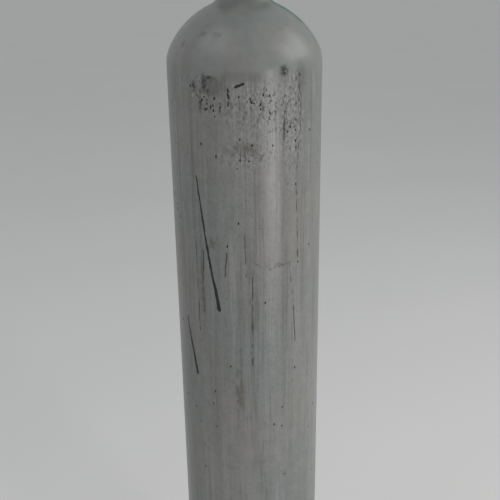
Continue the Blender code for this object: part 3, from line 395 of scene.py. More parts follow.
class Finish:
    """One material's nodes. Each method adds a node and gives back its output, and a plain number or colour may stand
    wherever an output can."""

    def __init__(self, name, roughness=0.5, metallic=0.0, specular=0.5):
        self.material = bpy.data.materials.new(name)
        self.material.use_nodes = True
        self.tree = self.material.node_tree
        self.surface = self.tree.nodes["Principled BSDF"]
        self.surface.inputs["Roughness"].default_value = roughness
        self.surface.inputs["Metallic"].default_value = metallic
        self.surface.inputs["Specular IOR Level"].default_value = specular
        self.places = self.tree.nodes.new("ShaderNodeTexCoord")

    def feed(self, socket, value):
        if isinstance(value, bpy.types.NodeSocket):
            self.tree.links.new(value, socket)
        elif socket.type == "RGBA":
            socket.default_value = (*value, 1)
        else:
            socket.default_value = value

    def add(self, kind, inputs, output=0, **settings):
        node = self.tree.nodes.new(kind)
        for name, value in settings.items():
            setattr(node, name, value)
        for name, value in inputs.items():
            self.feed(node.inputs[name], value)
        return node.outputs[output]

    def math(self, operation, a, b):
        return self.add("ShaderNodeMath", {0: a, 1: b}, operation=operation)

    def plus(self, a, b):
        return self.math("ADD", a, b)

    def less(self, a, b):
        return self.math("SUBTRACT", a, b)

    def times(self, a, b):
        return self.math("MULTIPLY", a, b)

    def vector(self, operation, a, b=(0, 0, 0), output=0):
        return self.add("ShaderNodeVectorMath", {0: a, 1: b}, output, operation=operation)

    def object(self, stretch=(1, 1, 1)):
        """Object coordinates, with each axis multiplied by its stretch."""
        return self.vector("MULTIPLY", self.places.outputs["Object"], stretch)

    def unrolled(self):
        """(distance round the piece, height) in metres, from the piece's own UV map."""
        return self.places.outputs["UV"]

    def attribute(self, name):
        return self.add("ShaderNodeAttribute", {}, "Fac", attribute_name=name)

    def height(self):
        return self.add("ShaderNodeSeparateXYZ", {0: self.places.outputs["Object"]}, "Z")

    def noise(self, where, scale, detail=3.0, roughness=0.55, output="Fac"):
        inputs = {"Vector": where, "Scale": scale, "Detail": detail, "Roughness": roughness}
        return self.add("ShaderNodeTexNoise", inputs, output)

    def cells(self, where, scale, output="Distance"):
        return self.add("ShaderNodeTexVoronoi", {"Vector": where, "Scale": scale}, output)

    def step(self, value, low, high, to_low=0.0, to_high=1.0):
        """Smooth step from to_low at low to to_high at high."""
        inputs = {"Value": value, "From Min": low, "From Max": high, "To Min": to_low, "To Max": to_high}
        return self.add("ShaderNodeMapRange", inputs, interpolation_type="SMOOTHSTEP")

    def mix(self, amount, a, b):
        """a where amount is 0, and b where it is 1."""
        node = self.tree.nodes.new("ShaderNodeMix")
        node.data_type = "RGBA"
        for socket, value in (("Factor", amount), (6, a), (7, b)):
            self.feed(node.inputs[socket], value)
        return node.outputs[2]

    def over(self, base, mask, amount, tint):
        """The base with an amount of tint laid over it wherever the mask is set."""
        return self.mix(self.times(mask, amount), base, tint)

    def patchy(self, place, scale, detail, roughness, low, high, dark, light):
        """A soft mottle between two colours."""
        return self.mix(self.step(self.noise(place, scale, detail, roughness), low, high), dark, light)

    def most(self, *masks):
        """The highest of the masks."""
        return reduce(lambda a, b: self.math("MAXIMUM", a, b), masks)

    def both(self, *masks):
        """The masks multiplied together."""
        return reduce(self.times, masks)

    def finish(self, tint, roughness, level, metallic=None):
        """Feeds the surface, with a level in metres as its bumps, and gives back the material."""
        normal = self.add("ShaderNodeBump", {"Height": level, "Distance": 1.0, "Strength": 1.0})
        inputs = {"Base Color": tint, "Roughness": roughness, "Normal": normal}
        if metallic is not None:
            inputs["Metallic"] = metallic
        for name, value in inputs.items():
            self.feed(self.surface.inputs[name], value)
        return self.material


class Marks:
    """Marks drawn on the unrolled shell, as masks. level is the top of the straight wall."""

    def __init__(self, finish, radius, level, shake):
        self.finish = finish
        self.radius = radius
        self.level = level
        wander = finish.noise(finish.object((1, 1, 0.35)), 220.0, 2.0, output="Color")
        centred = finish.vector("SUBTRACT", wander, (0.5, 0.5, 0.5))
        self.spot = finish.vector("ADD", finish.unrolled(), finish.vector("MULTIPLY", centred, (shake, shake, 0)))

    def at(self, angle, height):
        return (math.radians(angle) * self.radius, height, 0.0)

    def patches(self, rows):
        """Soft ovals, each full inside its core and gone at its edge."""
        masks = []
        for angle, above, half_width, half_height, core, strength in rows:
            away = self.finish.vector("SUBTRACT", self.spot, self.at(angle, self.level + above * MM))
            scaled = self.finish.vector("DIVIDE", away, (half_width * MM, half_height * MM, 1.0))
            away = self.finish.vector("LENGTH", scaled, output="Value")
            masks.append(self.finish.step(away, 1.0, core, 0.0, strength))
        return self.finish.most(*masks)

    def stroke(self, places, width, end_width):
        """Line through places, width across at its start and end_width at its end, from its distance to the nearest
        point of each straight stretch."""
        masks = []
        widths = np.linspace(width, end_width, len(places))
        for i, (start, end) in enumerate(zip(places, places[1:], strict=False)):
            first, last = np.array(self.at(*start)), np.array(self.at(*end))
            along = last - first
            away = self.finish.vector("SUBTRACT", self.spot, tuple(first))
            dot = self.finish.vector("DOT_PRODUCT", away, tuple(along / (along @ along)), "Value")
            inside = self.finish.add("ShaderNodeClamp", {"Value": dot})
            ahead = self.finish.add("ShaderNodeVectorMath", {0: tuple(along), "Scale": inside}, operation="SCALE")
            miss = self.finish.vector("DISTANCE", away, ahead, "Value")
            reach = self.finish.step(inside, 0.0, 1.0, widths[i] / 2, widths[i + 1] / 2)
            masks.append(self.finish.step(self.finish.math("DIVIDE", miss, reach), 1.15, 0.55))
        return self.finish.most(*masks)

    def strokes(self, rows):
        return self.finish.most(*(self.stroke(places, first * MM, last * MM) for first, last, *places in rows))


# Patches on the shell are (angle in degrees, height above the top of the straight wall, half the width, half the
# height, full core as a share of the whole, strength), with their lengths in millimetres.
RUBBED = (
    (12, -45, 75, 50, 0.2, 1),
    (34, -60, 30, 120, 0.2, 1),
    (2, -105, 50, 30, 0.1, 1),
    (-34, -20, 30, 30, 0.1, 1),
    (150, -50, 120, 60, 0.2, 1),
    (-140, -80, 90, 90, 0.2, 1),
)
CHIPPED = (
    (-24.5, -41, 19, 17, 0.6, 0.75),
    (-11.6, -28, 5.5, 17, 0.7, 1),
    (36, -85, 14, 50, 0.4, 0.2),
)
GRIMY = (
    (-2, -100, 35, 18, 0.1, 1),
    (-27, -235, 24, 14, 0.1, 1),
    (3, -330, 8, 80, 0.1, 1),
    (-37, -320, 8, 100, 0.1, 1),
    (-8, -470, 12, 90, 0.1, 1),
    (24, -268, 30, 6, 0.1, 1),
)
BROWNED = (
    (-24, -16, 22, 16, 0.55, 1),
    (-2, -4, 50, 12, 0.2, 0.55),
    (43, -10, 14, 30, 0.2, 0.7),
)
SMUDGED = (
    (-38.2, -17, 6, 14, 0.1, 1),
    (-29.4, -12, 5.5, 18, 0.1, 1),
    (-33, -40, 4.5, 22, 0.1, 1),
    (-26, -5, 14, 4, 0.1, 1),
    (27.8, 2, 9.5, 10.5, 0.35, 1),
    (28, -75, 4, 20, 0.1, 1),
    (-37, 47, 9, 5, 0.3, 0.3),
    (-23, 46.5, 12, 5, 0.3, 0.3),
    (-55, 33, 7, 6, 0.3, 0.3),
)

# Strokes are (width at the start, width at the end, places). Widths are in millimetres, and a place is (angle in
# degrees, height in metres).
# The strokes near 20 and 23 degrees are painted highlight lines in the reflection band; the rest are pale rubs.
PALE_RUBS_AND_HIGHLIGHT_LINES = (
    (5.0, 3.0, (-62, 1.145), (-61, 0.98)),
    (3.0, 2.4, (-56.5, 1.12), (-55.5, 0.94)),
    (3.6, 2.4, (19.5, 1.15), (20.2, 1.0)),
    (3.0, 2.4, (23.2, 1.13), (23.6, 0.95)),
    (2.4, 2.0, (-3, 1.13), (-2.6, 1.0)),
    (3.4, 2.4, (52, 1.13), (53, 0.9)),
)
BLACK_SCRATCHES = (
    (2.6, 4.2, (-39.2, 1.042), (-34.3, 0.977), (-28, 0.899)),
    (4.2, 6.4, (-28, 0.899), (-25, 0.874), (-22.8, 0.846)),
    (3.0, 6.4, (-56.6, 0.818), (-52.1, 0.781), (-46, 0.73)),
    (4.6, 3.8, (-6.2, 1.1665), (-1, 1.171)),
    (2.8, 2.4, (-11.7, 1.164), (-11.6, 1.1615)),
    (3.4, 2.8, (-11.5, 1.156), (-11.2, 1.152)),
    (2.6, 2.2, (-11.6, 1.147), (-11.7, 1.144)),
    (2.0, 1.6, (3.4, 1.152), (3.6, 1.147), (6.2, 1.1445)),
    (1.4, 3.2, (128, 0.98), (141, 0.83)),
)
FAINT_SCRATCHES = (
    (2.6, 3.6, (-34.8, 0.935), (-36.8, 0.872), (-36.2, 0.84)),
    (2.4, 2.8, (-15.5, 0.935), (-17.3, 0.9)),
    (1.8, 2.6, (-42, 0.95), (-41, 0.8)),
    (2.0, 2.6, (32.3, 0.916), (36.2, 0.854), (38.5, 0.787)),
    (2.2, 1.8, (39.5, 1.183), (42.5, 1.144), (42.1, 1.103), (38.6, 1.04)),
    (1.8, 2.4, (38.8, 1.03), (40.5, 0.92)),
    (2.6, 1.6, (27.9, 1.124), (27.8, 1.093)),
    (2.0, 2.0, (-1.8, 0.965), (-1.3, 0.9)),
    (1.6, 3.0, (3.2, 0.9), (2.4, 0.76)),
    (1.0, 1.4, (1, 0.926), (14, 0.909), (31, 0.915)),
    (1.2, 1.8, (-160, 1.1), (-152, 0.86)),
)
GREEN_MARK = ((32, 17, (74.5, 1.264), (76.5, 1.243)),)
# The green mark's lower line is the green drawn at 0.35 of its colour, as painted shade along the shoulder's edge.
GREEN_LINE_IN_PAINTED_SHADE = ((4.0, 2.4, (76.5, 1.243), (74.5, 1.222), (77.6, 1.2)),)


def enamel(finish, look, chips, scuffs, streaks, scale=1.0):
    """Colour, roughness and height of worn grey enamel, from masks of how much chipping, scuffing and streaking each
    place has. A larger scale makes every feature smaller."""
    near, oblong, grainy, cloudy, upright = (
        finish.object((scale, scale, tall * scale)) for tall in (1, 0.6, 0.55, 0.3, 0.03)
    )
    base = finish.patchy(cloudy, 11.0, 3.0, 0.6, 0.36, 0.64, look.cool, look.warm)
    mottle = finish.step(finish.noise(near, 60.0, 4.0, 0.6), 0.62, 0.35)
    base = finish.over(base, mottle, 0.16, (0.1, 0.1, 0.095))

    fine = finish.noise(upright, 420.0, 2.0, 0.6)
    broad = finish.noise(upright, 95.0, 3.0, 0.55)
    wide = finish.noise(upright, 30.0, 2.0, 0.5)
    lines = finish.plus(finish.times(fine, 0.4), finish.times(broad, 0.6))
    grain = finish.noise(grainy, 330.0, 3.0, 0.65)
    rub = finish.both(finish.step(grain, 0.51, 0.63), scuffs)
    pit = finish.both(finish.step(grain, 0.47, 0.36), scuffs)
    for mask, amount, tint in (
        (finish.both(finish.step(wide, 0.52, 0.3), streaks), 0.3, (0.1, 0.105, 0.1)),
        (finish.both(finish.step(lines, 0.5, 0.34), streaks), 0.48, (0.085, 0.09, 0.085)),
        (finish.both(finish.step(lines, 0.54, 0.66), streaks), 0.36, look.scuffed),
        (rub, 0.5, look.scuffed),
        (pit, 0.62, (0.05, 0.048, 0.044)),
    ):
        base = finish.over(base, mask, amount, tint)

    ragged = finish.times(finish.less(finish.noise(near, 900.0, 2.0), 0.5), 0.35)
    chip = 0.0
    for size, amount in ((130.0, 0.3), (250.0, 1.0)):
        spots = finish.plus(finish.cells(oblong, size), ragged)
        lucky = finish.add("ShaderNodeSeparateColor", {0: finish.cells(oblong, size, "Color")}, 0)
        allowed = finish.math("GREATER_THAN", finish.plus(lucky, finish.times(chips, amount)), 1.0)
        chip = finish.most(finish.both(finish.step(spots, 0.36, 0.28), allowed), chip)
    base = finish.mix(chip, base, look.chipped)

    rough = finish.plus(look.sheen, finish.times(finish.less(broad, 0.5), 0.3))
    rough = finish.plus(rough, finish.times(finish.most(rub, pit, chip), 0.25))
    level = finish.times(finish.noise(near, 650.0, 2.0), 0.06 * MM)
    level = finish.less(level, finish.times(chip, 0.25 * MM))
    level = finish.less(level, finish.times(pit, 0.08 * MM))
    return base, rough, level


def shell_paint(look, radius, tangent):
    """The shell's enamel: clean on the shoulder, streaked and scuffed down the straight wall, with the long black
    scratches, gouges and grimy patches of its own. Two pale lines near 20 degrees are painted highlight, and the
    green mark's lower line is painted shade."""
    finish = Finish("shell_enamel", specular=0.45)
    marks = Marks(finish, radius, tangent, 3 * MM)

    def torn(tall, scale, low, high, roughness=0.55):
        return finish.step(finish.noise(finish.object((1, 1, tall)), scale, 3.0, roughness), low, high)

    wander = finish.noise(finish.object((1, 1, 0.3)), 26.0, 3.0)
    edge = finish.plus(finish.height(), finish.times(finish.less(wander, 0.5), 0.03))
    wall = finish.step(edge, tangent + 0.006, tangent - 0.012)
    foot = finish.step(edge, 0.22, 0.09)
    rubbed = marks.patches(RUBBED)
    scuffs = finish.most(finish.both(rubbed, wall), finish.times(foot, 0.8))
    scuffs = finish.plus(scuffs, finish.times(wall, 0.2))
    clusters = finish.most(marks.patches(CHIPPED), finish.times(rubbed, 0.11), finish.times(foot, 0.3))
    chips = finish.plus(finish.both(clusters, wall), finish.times(wall, 0.02 * look.wear))
    streaks = finish.plus(finish.times(wall, 0.85), 0.05)
    base, rough, level = enamel(finish, look, chips, scuffs, streaks)

    dirt = finish.both(marks.patches(GRIMY), torn(0.5, 160.0, 0.38, 0.62))
    base = finish.over(base, dirt, 0.6, look.grime)
    base = finish.over(base, marks.patches(BROWNED), 0.42, (0.07, 0.062, 0.055))
    holes = finish.step(torn(0.6, 430.0, 0.62, 0.44, 0.65), 0.0, 1.0, 0.3, 1.0)
    smudge = finish.both(marks.patches(SMUDGED), holes)
    base = finish.over(base, smudge, 0.95, (0.018, 0.018, 0.017))
    # Pale rubs, and painted highlight lines near 20 and 23 degrees, in the scuffed grey
    pale = finish.both(marks.strokes(PALE_RUBS_AND_HIGHLIGHT_LINES), torn(0.12, 300.0, 0.42, 0.58))
    base = finish.over(base, pale, 0.36, look.scuffed)
    faint = finish.both(marks.strokes(FAINT_SCRATCHES), torn(0.3, 260.0, 0.4, 0.56))
    base = finish.over(base, faint, 0.8, (0.028, 0.029, 0.027))
    black = marks.strokes(BLACK_SCRATCHES)
    base = finish.mix(black, base, look.chipped)
    base = finish.mix(marks.strokes(GREEN_MARK), base, look.mark)
    # Painted shade: a darker copy of the green along the lower line of the mark
    base = finish.mix(marks.strokes(GREEN_LINE_IN_PAINTED_SHADE), base, [channel * 0.35 for channel in look.mark])

    sunk = finish.most(black, smudge)
    rough = finish.plus(rough, finish.times(sunk, 0.15))
    level = finish.less(level, finish.times(sunk, 0.15 * MM))
    return finish.finish(base, rough, level)


def edge_paint(name, look):
    """Enamel on a smaller painted piece, worn to steel and rust where the wear attribute marks an edge."""
    finish = Finish(name, specular=0.45)
    edge = finish.attribute("wear")
    patchy = finish.noise(finish.object(), 70.0, 4.0, 0.65)
    worn = finish.plus(finish.times(edge, 0.55), finish.times(patchy, 0.8))
    base, rough, level = enamel(finish, look, 0.015 + 0.03 * look.wear, 0.16, 0.16, 1.7)
    bare = finish.step(worn, 0.66, 0.7)
    rusty = finish.both(finish.step(worn, 0.61, 0.66), finish.step(patchy, 0.4, 0.55))
    metal = finish.patchy(finish.object(), 420.0, 3.0, 0.55, 0.4, 0.6, look.rust, (0.2, 0.19, 0.185))
    base = finish.over(base, rusty, 0.5, look.rust)
    base = finish.mix(bare, base, metal)
    level = finish.less(level, finish.times(bare, 0.12 * MM))
    return finish.finish(base, rough, level, finish.times(bare, 0.6))


def machined(name, bright, film, roughness, film_share, ring_scale=0.0, cast=0.0):
    """Bare metal with a film of tarnish or dirt in noise patches, fine turning lines, and the grain of a forging."""
    finish = Finish(name, roughness, 1.0)
    near = finish.object()
    cloud = finish.noise(near, 65.0, 4.0, 0.65)
    specks = finish.noise(near, 700.0, 3.0, 0.6)
    cover = finish.plus(cloud, finish.times(specks, 0.25))
    covered = finish.step(cover, 0.74 - film_share, 0.92 - film_share)
    base = finish.mix(finish.times(covered, 0.85), bright, film)
    rough = finish.plus(roughness, finish.times(covered, 0.28))
    level = finish.times(finish.noise(near, 1400.0, 2.0), (0.01 + cast) * MM)
    if ring_scale:
        lines = finish.noise(finish.object((0.02, 0.02, 1)), ring_scale, 2.0, 0.7)
        level = finish.plus(level, finish.times(lines, 0.04 * MM))
    metallic = finish.less(1.0, finish.times(covered, 0.45))
    return finish.finish(base, rough, level, metallic)


def moulded(name, tint, roughness, speckle=0.12):
    """Moulded plastic: a soft mottle, a fine grain, and a little dust."""
    finish = Finish(name, roughness)
    near = finish.object()
    mottle = finish.noise(near, 140.0, 3.0, 0.6)
    darker = tuple(channel * (1 - speckle * 2) for channel in tint)
    base = finish.mix(finish.step(mottle, 0.35, 0.65), darker, tint)
    dust = finish.step(finish.noise(near, 520.0, 3.0, 0.7), 0.56, 0.7)
    base = finish.over(base, dust, speckle * 1.5, (0.5, 0.49, 0.46))
    rough = finish.plus(roughness, finish.times(mottle, 0.2))
    level = finish.times(finish.noise(near, 1500.0, 2.0), 0.03 * MM)
    return finish.finish(base, rough, level)


def wheel_enamel(look):
    """Stove enamel on light alloy, rubbed to metal along the rim's edges."""
    finish = Finish("wheel_enamel", specular=0.5)
    near = finish.object()
    edge = finish.attribute("wear")
    patchy = finish.noise(near, 240.0, 4.0, 0.65)
    worn = finish.step(finish.plus(finish.times(edge, 0.5), patchy), 0.78, 0.84)
    shade = tuple(channel * 0.6 for channel in look.enamel)
    base = finish.mix(finish.step(finish.noise(near, 60.0, 3.0), 0.35, 0.65), shade, tuple(look.enamel))
    base = finish.mix(worn, base, (0.48, 0.48, 0.47))
    rough = finish.step(finish.noise(near, 300.0, 2.0), 0.3, 0.7, 0.34, 0.52)
    level = finish.times(finish.noise(near, 900.0, 2.0), 0.05 * MM)
    level = finish.less(level, finish.times(worn, 0.08 * MM))
    return finish.finish(base, rough, level, finish.times(worn, 0.9))


def brass_finish(look, name="forged_brass", cast=0.05, rings=0.0, film=0.02):
    return machined(name, look.brass, look.tarnish, 0.3, film, rings, cast)


# Pieces -------------------------------------------------------------------------------------------


class CYLINDER_OT_shell(bpy.types.Operator):
    """Make the painted shell, from its neck to its rounded base"""

    bl_idname = "cylinder.shell"
    bl_label = "Shell"

    def execute(self, context):
        size = context.scene.cylinder_shell
        profile, inside, tangent = shell_profile(size)
        outer = turned(profile, size.columns)
        outer[..., :2] *= shell_swell(outer, tangent)[..., None]
        grid = np.concatenate((turned(inside[:-1], size.columns), outer))
        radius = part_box("cylinder_shell")[1].x
        around = np.linspace(-math.pi, math.pi, size.columns + 1) * radius
        mesh = skin("cylinder_shell", [grid], unrolled=around)
        paint = shell_paint(context.scene.cylinder_paint, radius, tangent)
        piece("cylinder_shell", mesh, "cylinder", paint)
        return {"FINISHED"}


def shell_profile(size):
    """The outside from the neck's rim down to the base's lowest point, the inside from its own lowest point up to the
    rim, and the height at which the straight wall begins.

    Outside: neck, fillet, crown, knuckle and wall, each arc touching the next, and a quarter ellipse for the base.
    Inside: the same shapes, a wall's thickness in, and a tapered bore.
    """
    low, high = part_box("cylinder_shell")
    radius, top, bottom = high.x, high.z, low.z
    neck_foot = top - size.neck_height
    fillet = (size.neck_radius + size.neck_fillet, neck_foot)
    turn = size.knuckle_turn
    knuckle_r = radius - size.knuckle_radius
    crown_r = knuckle_r - (size.crown_radius - size.knuckle_radius) * math.cos(turn)
    reach = size.crown_radius + size.neck_fillet
    crown_z = neck_foot - math.sqrt(reach**2 - (fillet[0] - crown_r) ** 2)
    tangent = crown_z + (size.crown_radius - size.knuckle_radius) * math.sin(turn)
    meet = math.degrees(math.acos((fillet[0] - crown_r) / reach))
    base = np.radians(np.linspace(0, 90, 25))
    base_tangent = bottom + size.base_height
    rim = 14.2 * MM
    outside = np.concatenate(
        (
            rounded(((rim, top, 0), (size.neck_radius, top, 0.8 * MM), (size.neck_radius, neck_foot, 0))),
            arc(fillet, size.neck_fillet, 180, 180 + meet, 10),
            arc((crown_r, crown_z), size.crown_radius, meet, math.degrees(turn), 24),
            arc((knuckle_r, tangent), size.knuckle_radius, math.degrees(turn), 0, 10),
            np.column_stack((radius * np.cos(base), base_tangent - size.base_height * np.sin(base))),
        )
    )
    thick = 2 * size.wall
    half = np.radians(np.linspace(90, 0, 9))
    inside = np.concatenate(
        (
            np.column_stack(
                (
                    (radius - size.wall) * np.cos(half),
                    base_tangent - (size.base_height - thick) * np.sin(half),
                )
            ),
            arc((knuckle_r, tangent), size.knuckle_radius - size.wall, 0, math.degrees(turn), 4),
            arc((crown_r, crown_z), size.crown_radius - thick, math.degrees(turn), meet + 12, 6),
            np.array(((12.6 * MM, top - 54 * MM), (12.6 * MM, top - 26 * MM), (rim, top))),
        )
    )
    keep = np.ones(len(outside), bool)
    keep[1:] = np.linalg.norm(np.diff(outside, axis=0), axis=1) > WELD
    return spaced(outside[keep], 5 * MM), inside, tangent


def shell_swell(grid, tangent):
    """How far each point of the outside stands out, as a share of its radius: a slightly oval pipe, faint spinning
    rings on the shoulder, and a few shallow dents shaped like a bell curve of their distance."""
    x, y, z = np.moveaxis(grid, -1, 0)
    radius = np.maximum(np.hypot(x, y), 1 * MM)
    angle = np.arctan2(x, -y)
    wall = np.clip((tangent + 0.02 - z) / 0.05, 0, 1) * np.clip((z - 0.07) / 0.1, 0, 1)
    change = 0.16 * np.sin(2 * angle + 0.6) + 0.07 * np.sin(3 * angle + 5.1 * z) + 0.05 * np.sin(5 * angle - 9 * z)
    change = change * wall
    shoulder = np.clip((z - tangent) / 0.02, 0, 1) * np.clip((tangent + 0.085 - z) / 0.02, 0, 1)
    change = change + 0.035 * shoulder * np.sin(z * 900 + 2 * np.sin(angle))
    for degrees, height, width, depth in DENTS:
        off = (angle - math.radians(degrees) + math.pi) % FULL_TURN - math.pi
        away = np.hypot(off * radius, z - height) / width
        change = change - depth * np.exp(-(away**2))
    return 1 + np.where(radius > 0.036, change * MM / radius, 0)


# Shallow dents as (angle in degrees, height, width, depth in millimetres)
DENTS = (
    (28.5, 1.184, 0.009, 0.45),
    (-30, 1.17, 0.012, 0.35),
    (8, 0.62, 0.02, 0.5),
    (115, 0.9, 0.022, 0.7),
    (-120, 0.4, 0.025, 0.8),
    (170, 0.25, 0.018, 0.6),
    (60, 0.2, 0.02, 0.6),
)


class CYLINDER_OT_foot_ring(bpy.types.Operator):
    """Make the foot ring that is shrunk on to the rounded base"""

    bl_idname = "cylinder.foot_ring"
    bl_label = "Foot ring"

    def execute(self, context):
        low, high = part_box("foot_ring")
        size = context.scene.cylinder_shell
        shell_low, shell_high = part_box("cylinder_shell")
        inner = high.x - 6.5 * MM
        bend, depth = shell_high.x + SEAT_GAP, size.base_height + SEAT_GAP
        angle = np.linspace(math.acos(inner / bend), math.acos((high.x - 1 * MM) / bend), 5)
        seat = np.column_stack((bend * np.cos(angle), shell_low.z + size.base_height - depth * np.sin(angle)))
        outside = rounded(
            (
                (*seat[-1], 0),
                (high.x, seat[-1][1], 0.9 * MM),
                (high.x, low.z, 1.6 * MM),
                (inner, low.z, 1.6 * MM),
                (*seat[0], 0),
            ),
            5,
        )
        profile = spaced(np.concatenate((outside, seat[1:])), 3 * MM)
        columns = 240
        grid = turned(profile, columns)
        angle = round_angles(columns)
        wobble = 0.3 * np.sin(7 * angle) + 0.2 * np.sin(17 * angle + 1)
        near_floor = np.clip(1 - grid[..., 2] / 0.03, 0, 1)
        grid[..., :2] *= (1 - np.abs(wobble) * MM * near_floor / high.x)[..., None]
        mesh = skin("foot_ring", [grid], wear=[convexity(profile)[:, None]])
        paint = edge_paint("foot_enamel", context.scene.cylinder_paint)
        piece("foot_ring", mesh, "cylinder", paint)
        return {"FINISHED"}


class CYLINDER_OT_neck_ring(bpy.types.Operator):
    """Make the neck ring, with the thread that holds the guard"""

    bl_idname = "cylinder.neck_ring"
    bl_label = "Neck ring"

    def execute(self, context):
        low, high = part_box("neck_ring")
        inner = context.scene.cylinder_shell.neck_radius + SEAT_GAP
        thread = high.x - 5 * MM
        flange_top = low.z + 10 * MM
        grid = lathe(
            144,
            0.45 * MM,
            (inner, high.z, 0),
            (thread, high.z, 0.8 * MM),
            (thread, flange_top, 0.4 * MM),
            (high.x, flange_top, 0.9 * MM),
            (high.x, low.z, 0.9 * MM),
            (inner, low.z, 0.3 * MM),
            (inner, high.z, 0),
        )
        grid = threaded(grid, thread, 2.309 * MM, 1.2 * MM, flange_top, high.z)
        mesh = skin("neck_ring", [grid])
        look = context.scene.cylinder_metals
        finish = machined("turned_steel", look.steel, context.scene.cylinder_paint.rust, 0.42, 0.22, 900.0)
        piece("neck_ring", mesh, "cylinder", finish)
        return {"FINISHED"}


class CYLINDER_OT_guard(bpy.types.Operator):
    """Make the open guard, with its two windows and its drain holes"""

    bl_idname = "cylinder.guard"
    bl_label = "Guard"

    def execute(self, context):
        low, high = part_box("valve_guard")
        outer, wall = high.x, 4 * MM
        mesh = guard_mesh(low.z, high.z, outer, wall)
        reach = outer + 10 * MM
        drain = bar(3.5 * MM, -reach, reach, Matrix.Translation((0, 0, low.z + 26.75 * MM)) @ ACROSS)
        mesh = carve(mesh, [("DIFFERENCE", drain)])
        paint = edge_paint("guard_enamel", context.scene.cylinder_paint)
        piece("valve_guard", mesh, "cylinder", paint)
        return {"FINISHED"}


def guard_mesh(bottom, top, outer, wall):
    """The guard as a turned wall in which two panels with round-cornered windows take the place of the faces in front
    and at the back. The panels' outer edges fall on points of the wall."""
    columns = 240
    inner = outer - wall
    collar_inside = 40.3 * MM
    collar = collar_inside + 6.5 * MM
    collar_top = bottom + 20 * MM
    barrel_bottom = collar_top + 15 * MM
    mouth, bend = 40 * MM, 13 * MM
    panel_low, panel_high = barrel_bottom + 3.2 * MM, top - bend - 1.6 * MM
    centre = (outer - bend, top - bend)
    heights = np.linspace(panel_high, panel_low, 61)
    outside = np.concatenate(
        (
            rounded(((mouth, top - wall, 0), (mouth, top, 1.2 * MM), (outer - bend, top, 0))),
            arc(centre, bend, 90, 0, 12)[1:],
            np.column_stack((np.full(61, outer), heights)),
            rounded(
                (
                    (outer, barrel_bottom + 2.5 * MM, 0),
                    (outer, barrel_bottom, 6 * MM),
                    (collar, collar_top, 5 * MM),
                    (collar, bottom, 1.2 * MM),
                    (collar_inside, bottom, 0.5 * MM),
                    (collar_inside, collar_top, 3 * MM),
                    (inner, barrel_bottom + wall / 2, 3 * MM),
                    (inner, panel_low - 0.5 * MM, 0),
                ),
                6,
            ),
        )
    )
    first = int(np.argmax(np.isclose(outside[:, 1], panel_high) & np.isclose(outside[:, 0], outer)))
    inside_rise = np.column_stack((np.full(61, inner), heights[::-1]))
    inside_top = np.concatenate((arc(centre, bend - wall, 0, 90, 8), ((mouth, top - wall),)))
    profile = np.concatenate((outside, inside_rise, inside_top))
    second = len(outside)
    wear = convexity(profile, 0.9 * MM)
    grid = turned(profile, columns)
    reach = columns // 6
    beside = (np.arange(columns) + reach) % (columns // 2) < 2 * reach
    rows = np.zeros(len(profile) - 1, bool)
    rows[first : first + 60] = rows[second : second + 60] = True
    panel, panel_wear = window_panel(heights, outer, inner, reach, columns)
    turned_panel = panel * (-1, -1, 1)
    return skin(
        "valve_guard",
        [grid, panel, turned_panel],
        wear=[wear[:, None], panel_wear[:, None], panel_wear[:, None]],
        open_at=rows[:, None] & beside[None, :],
    )


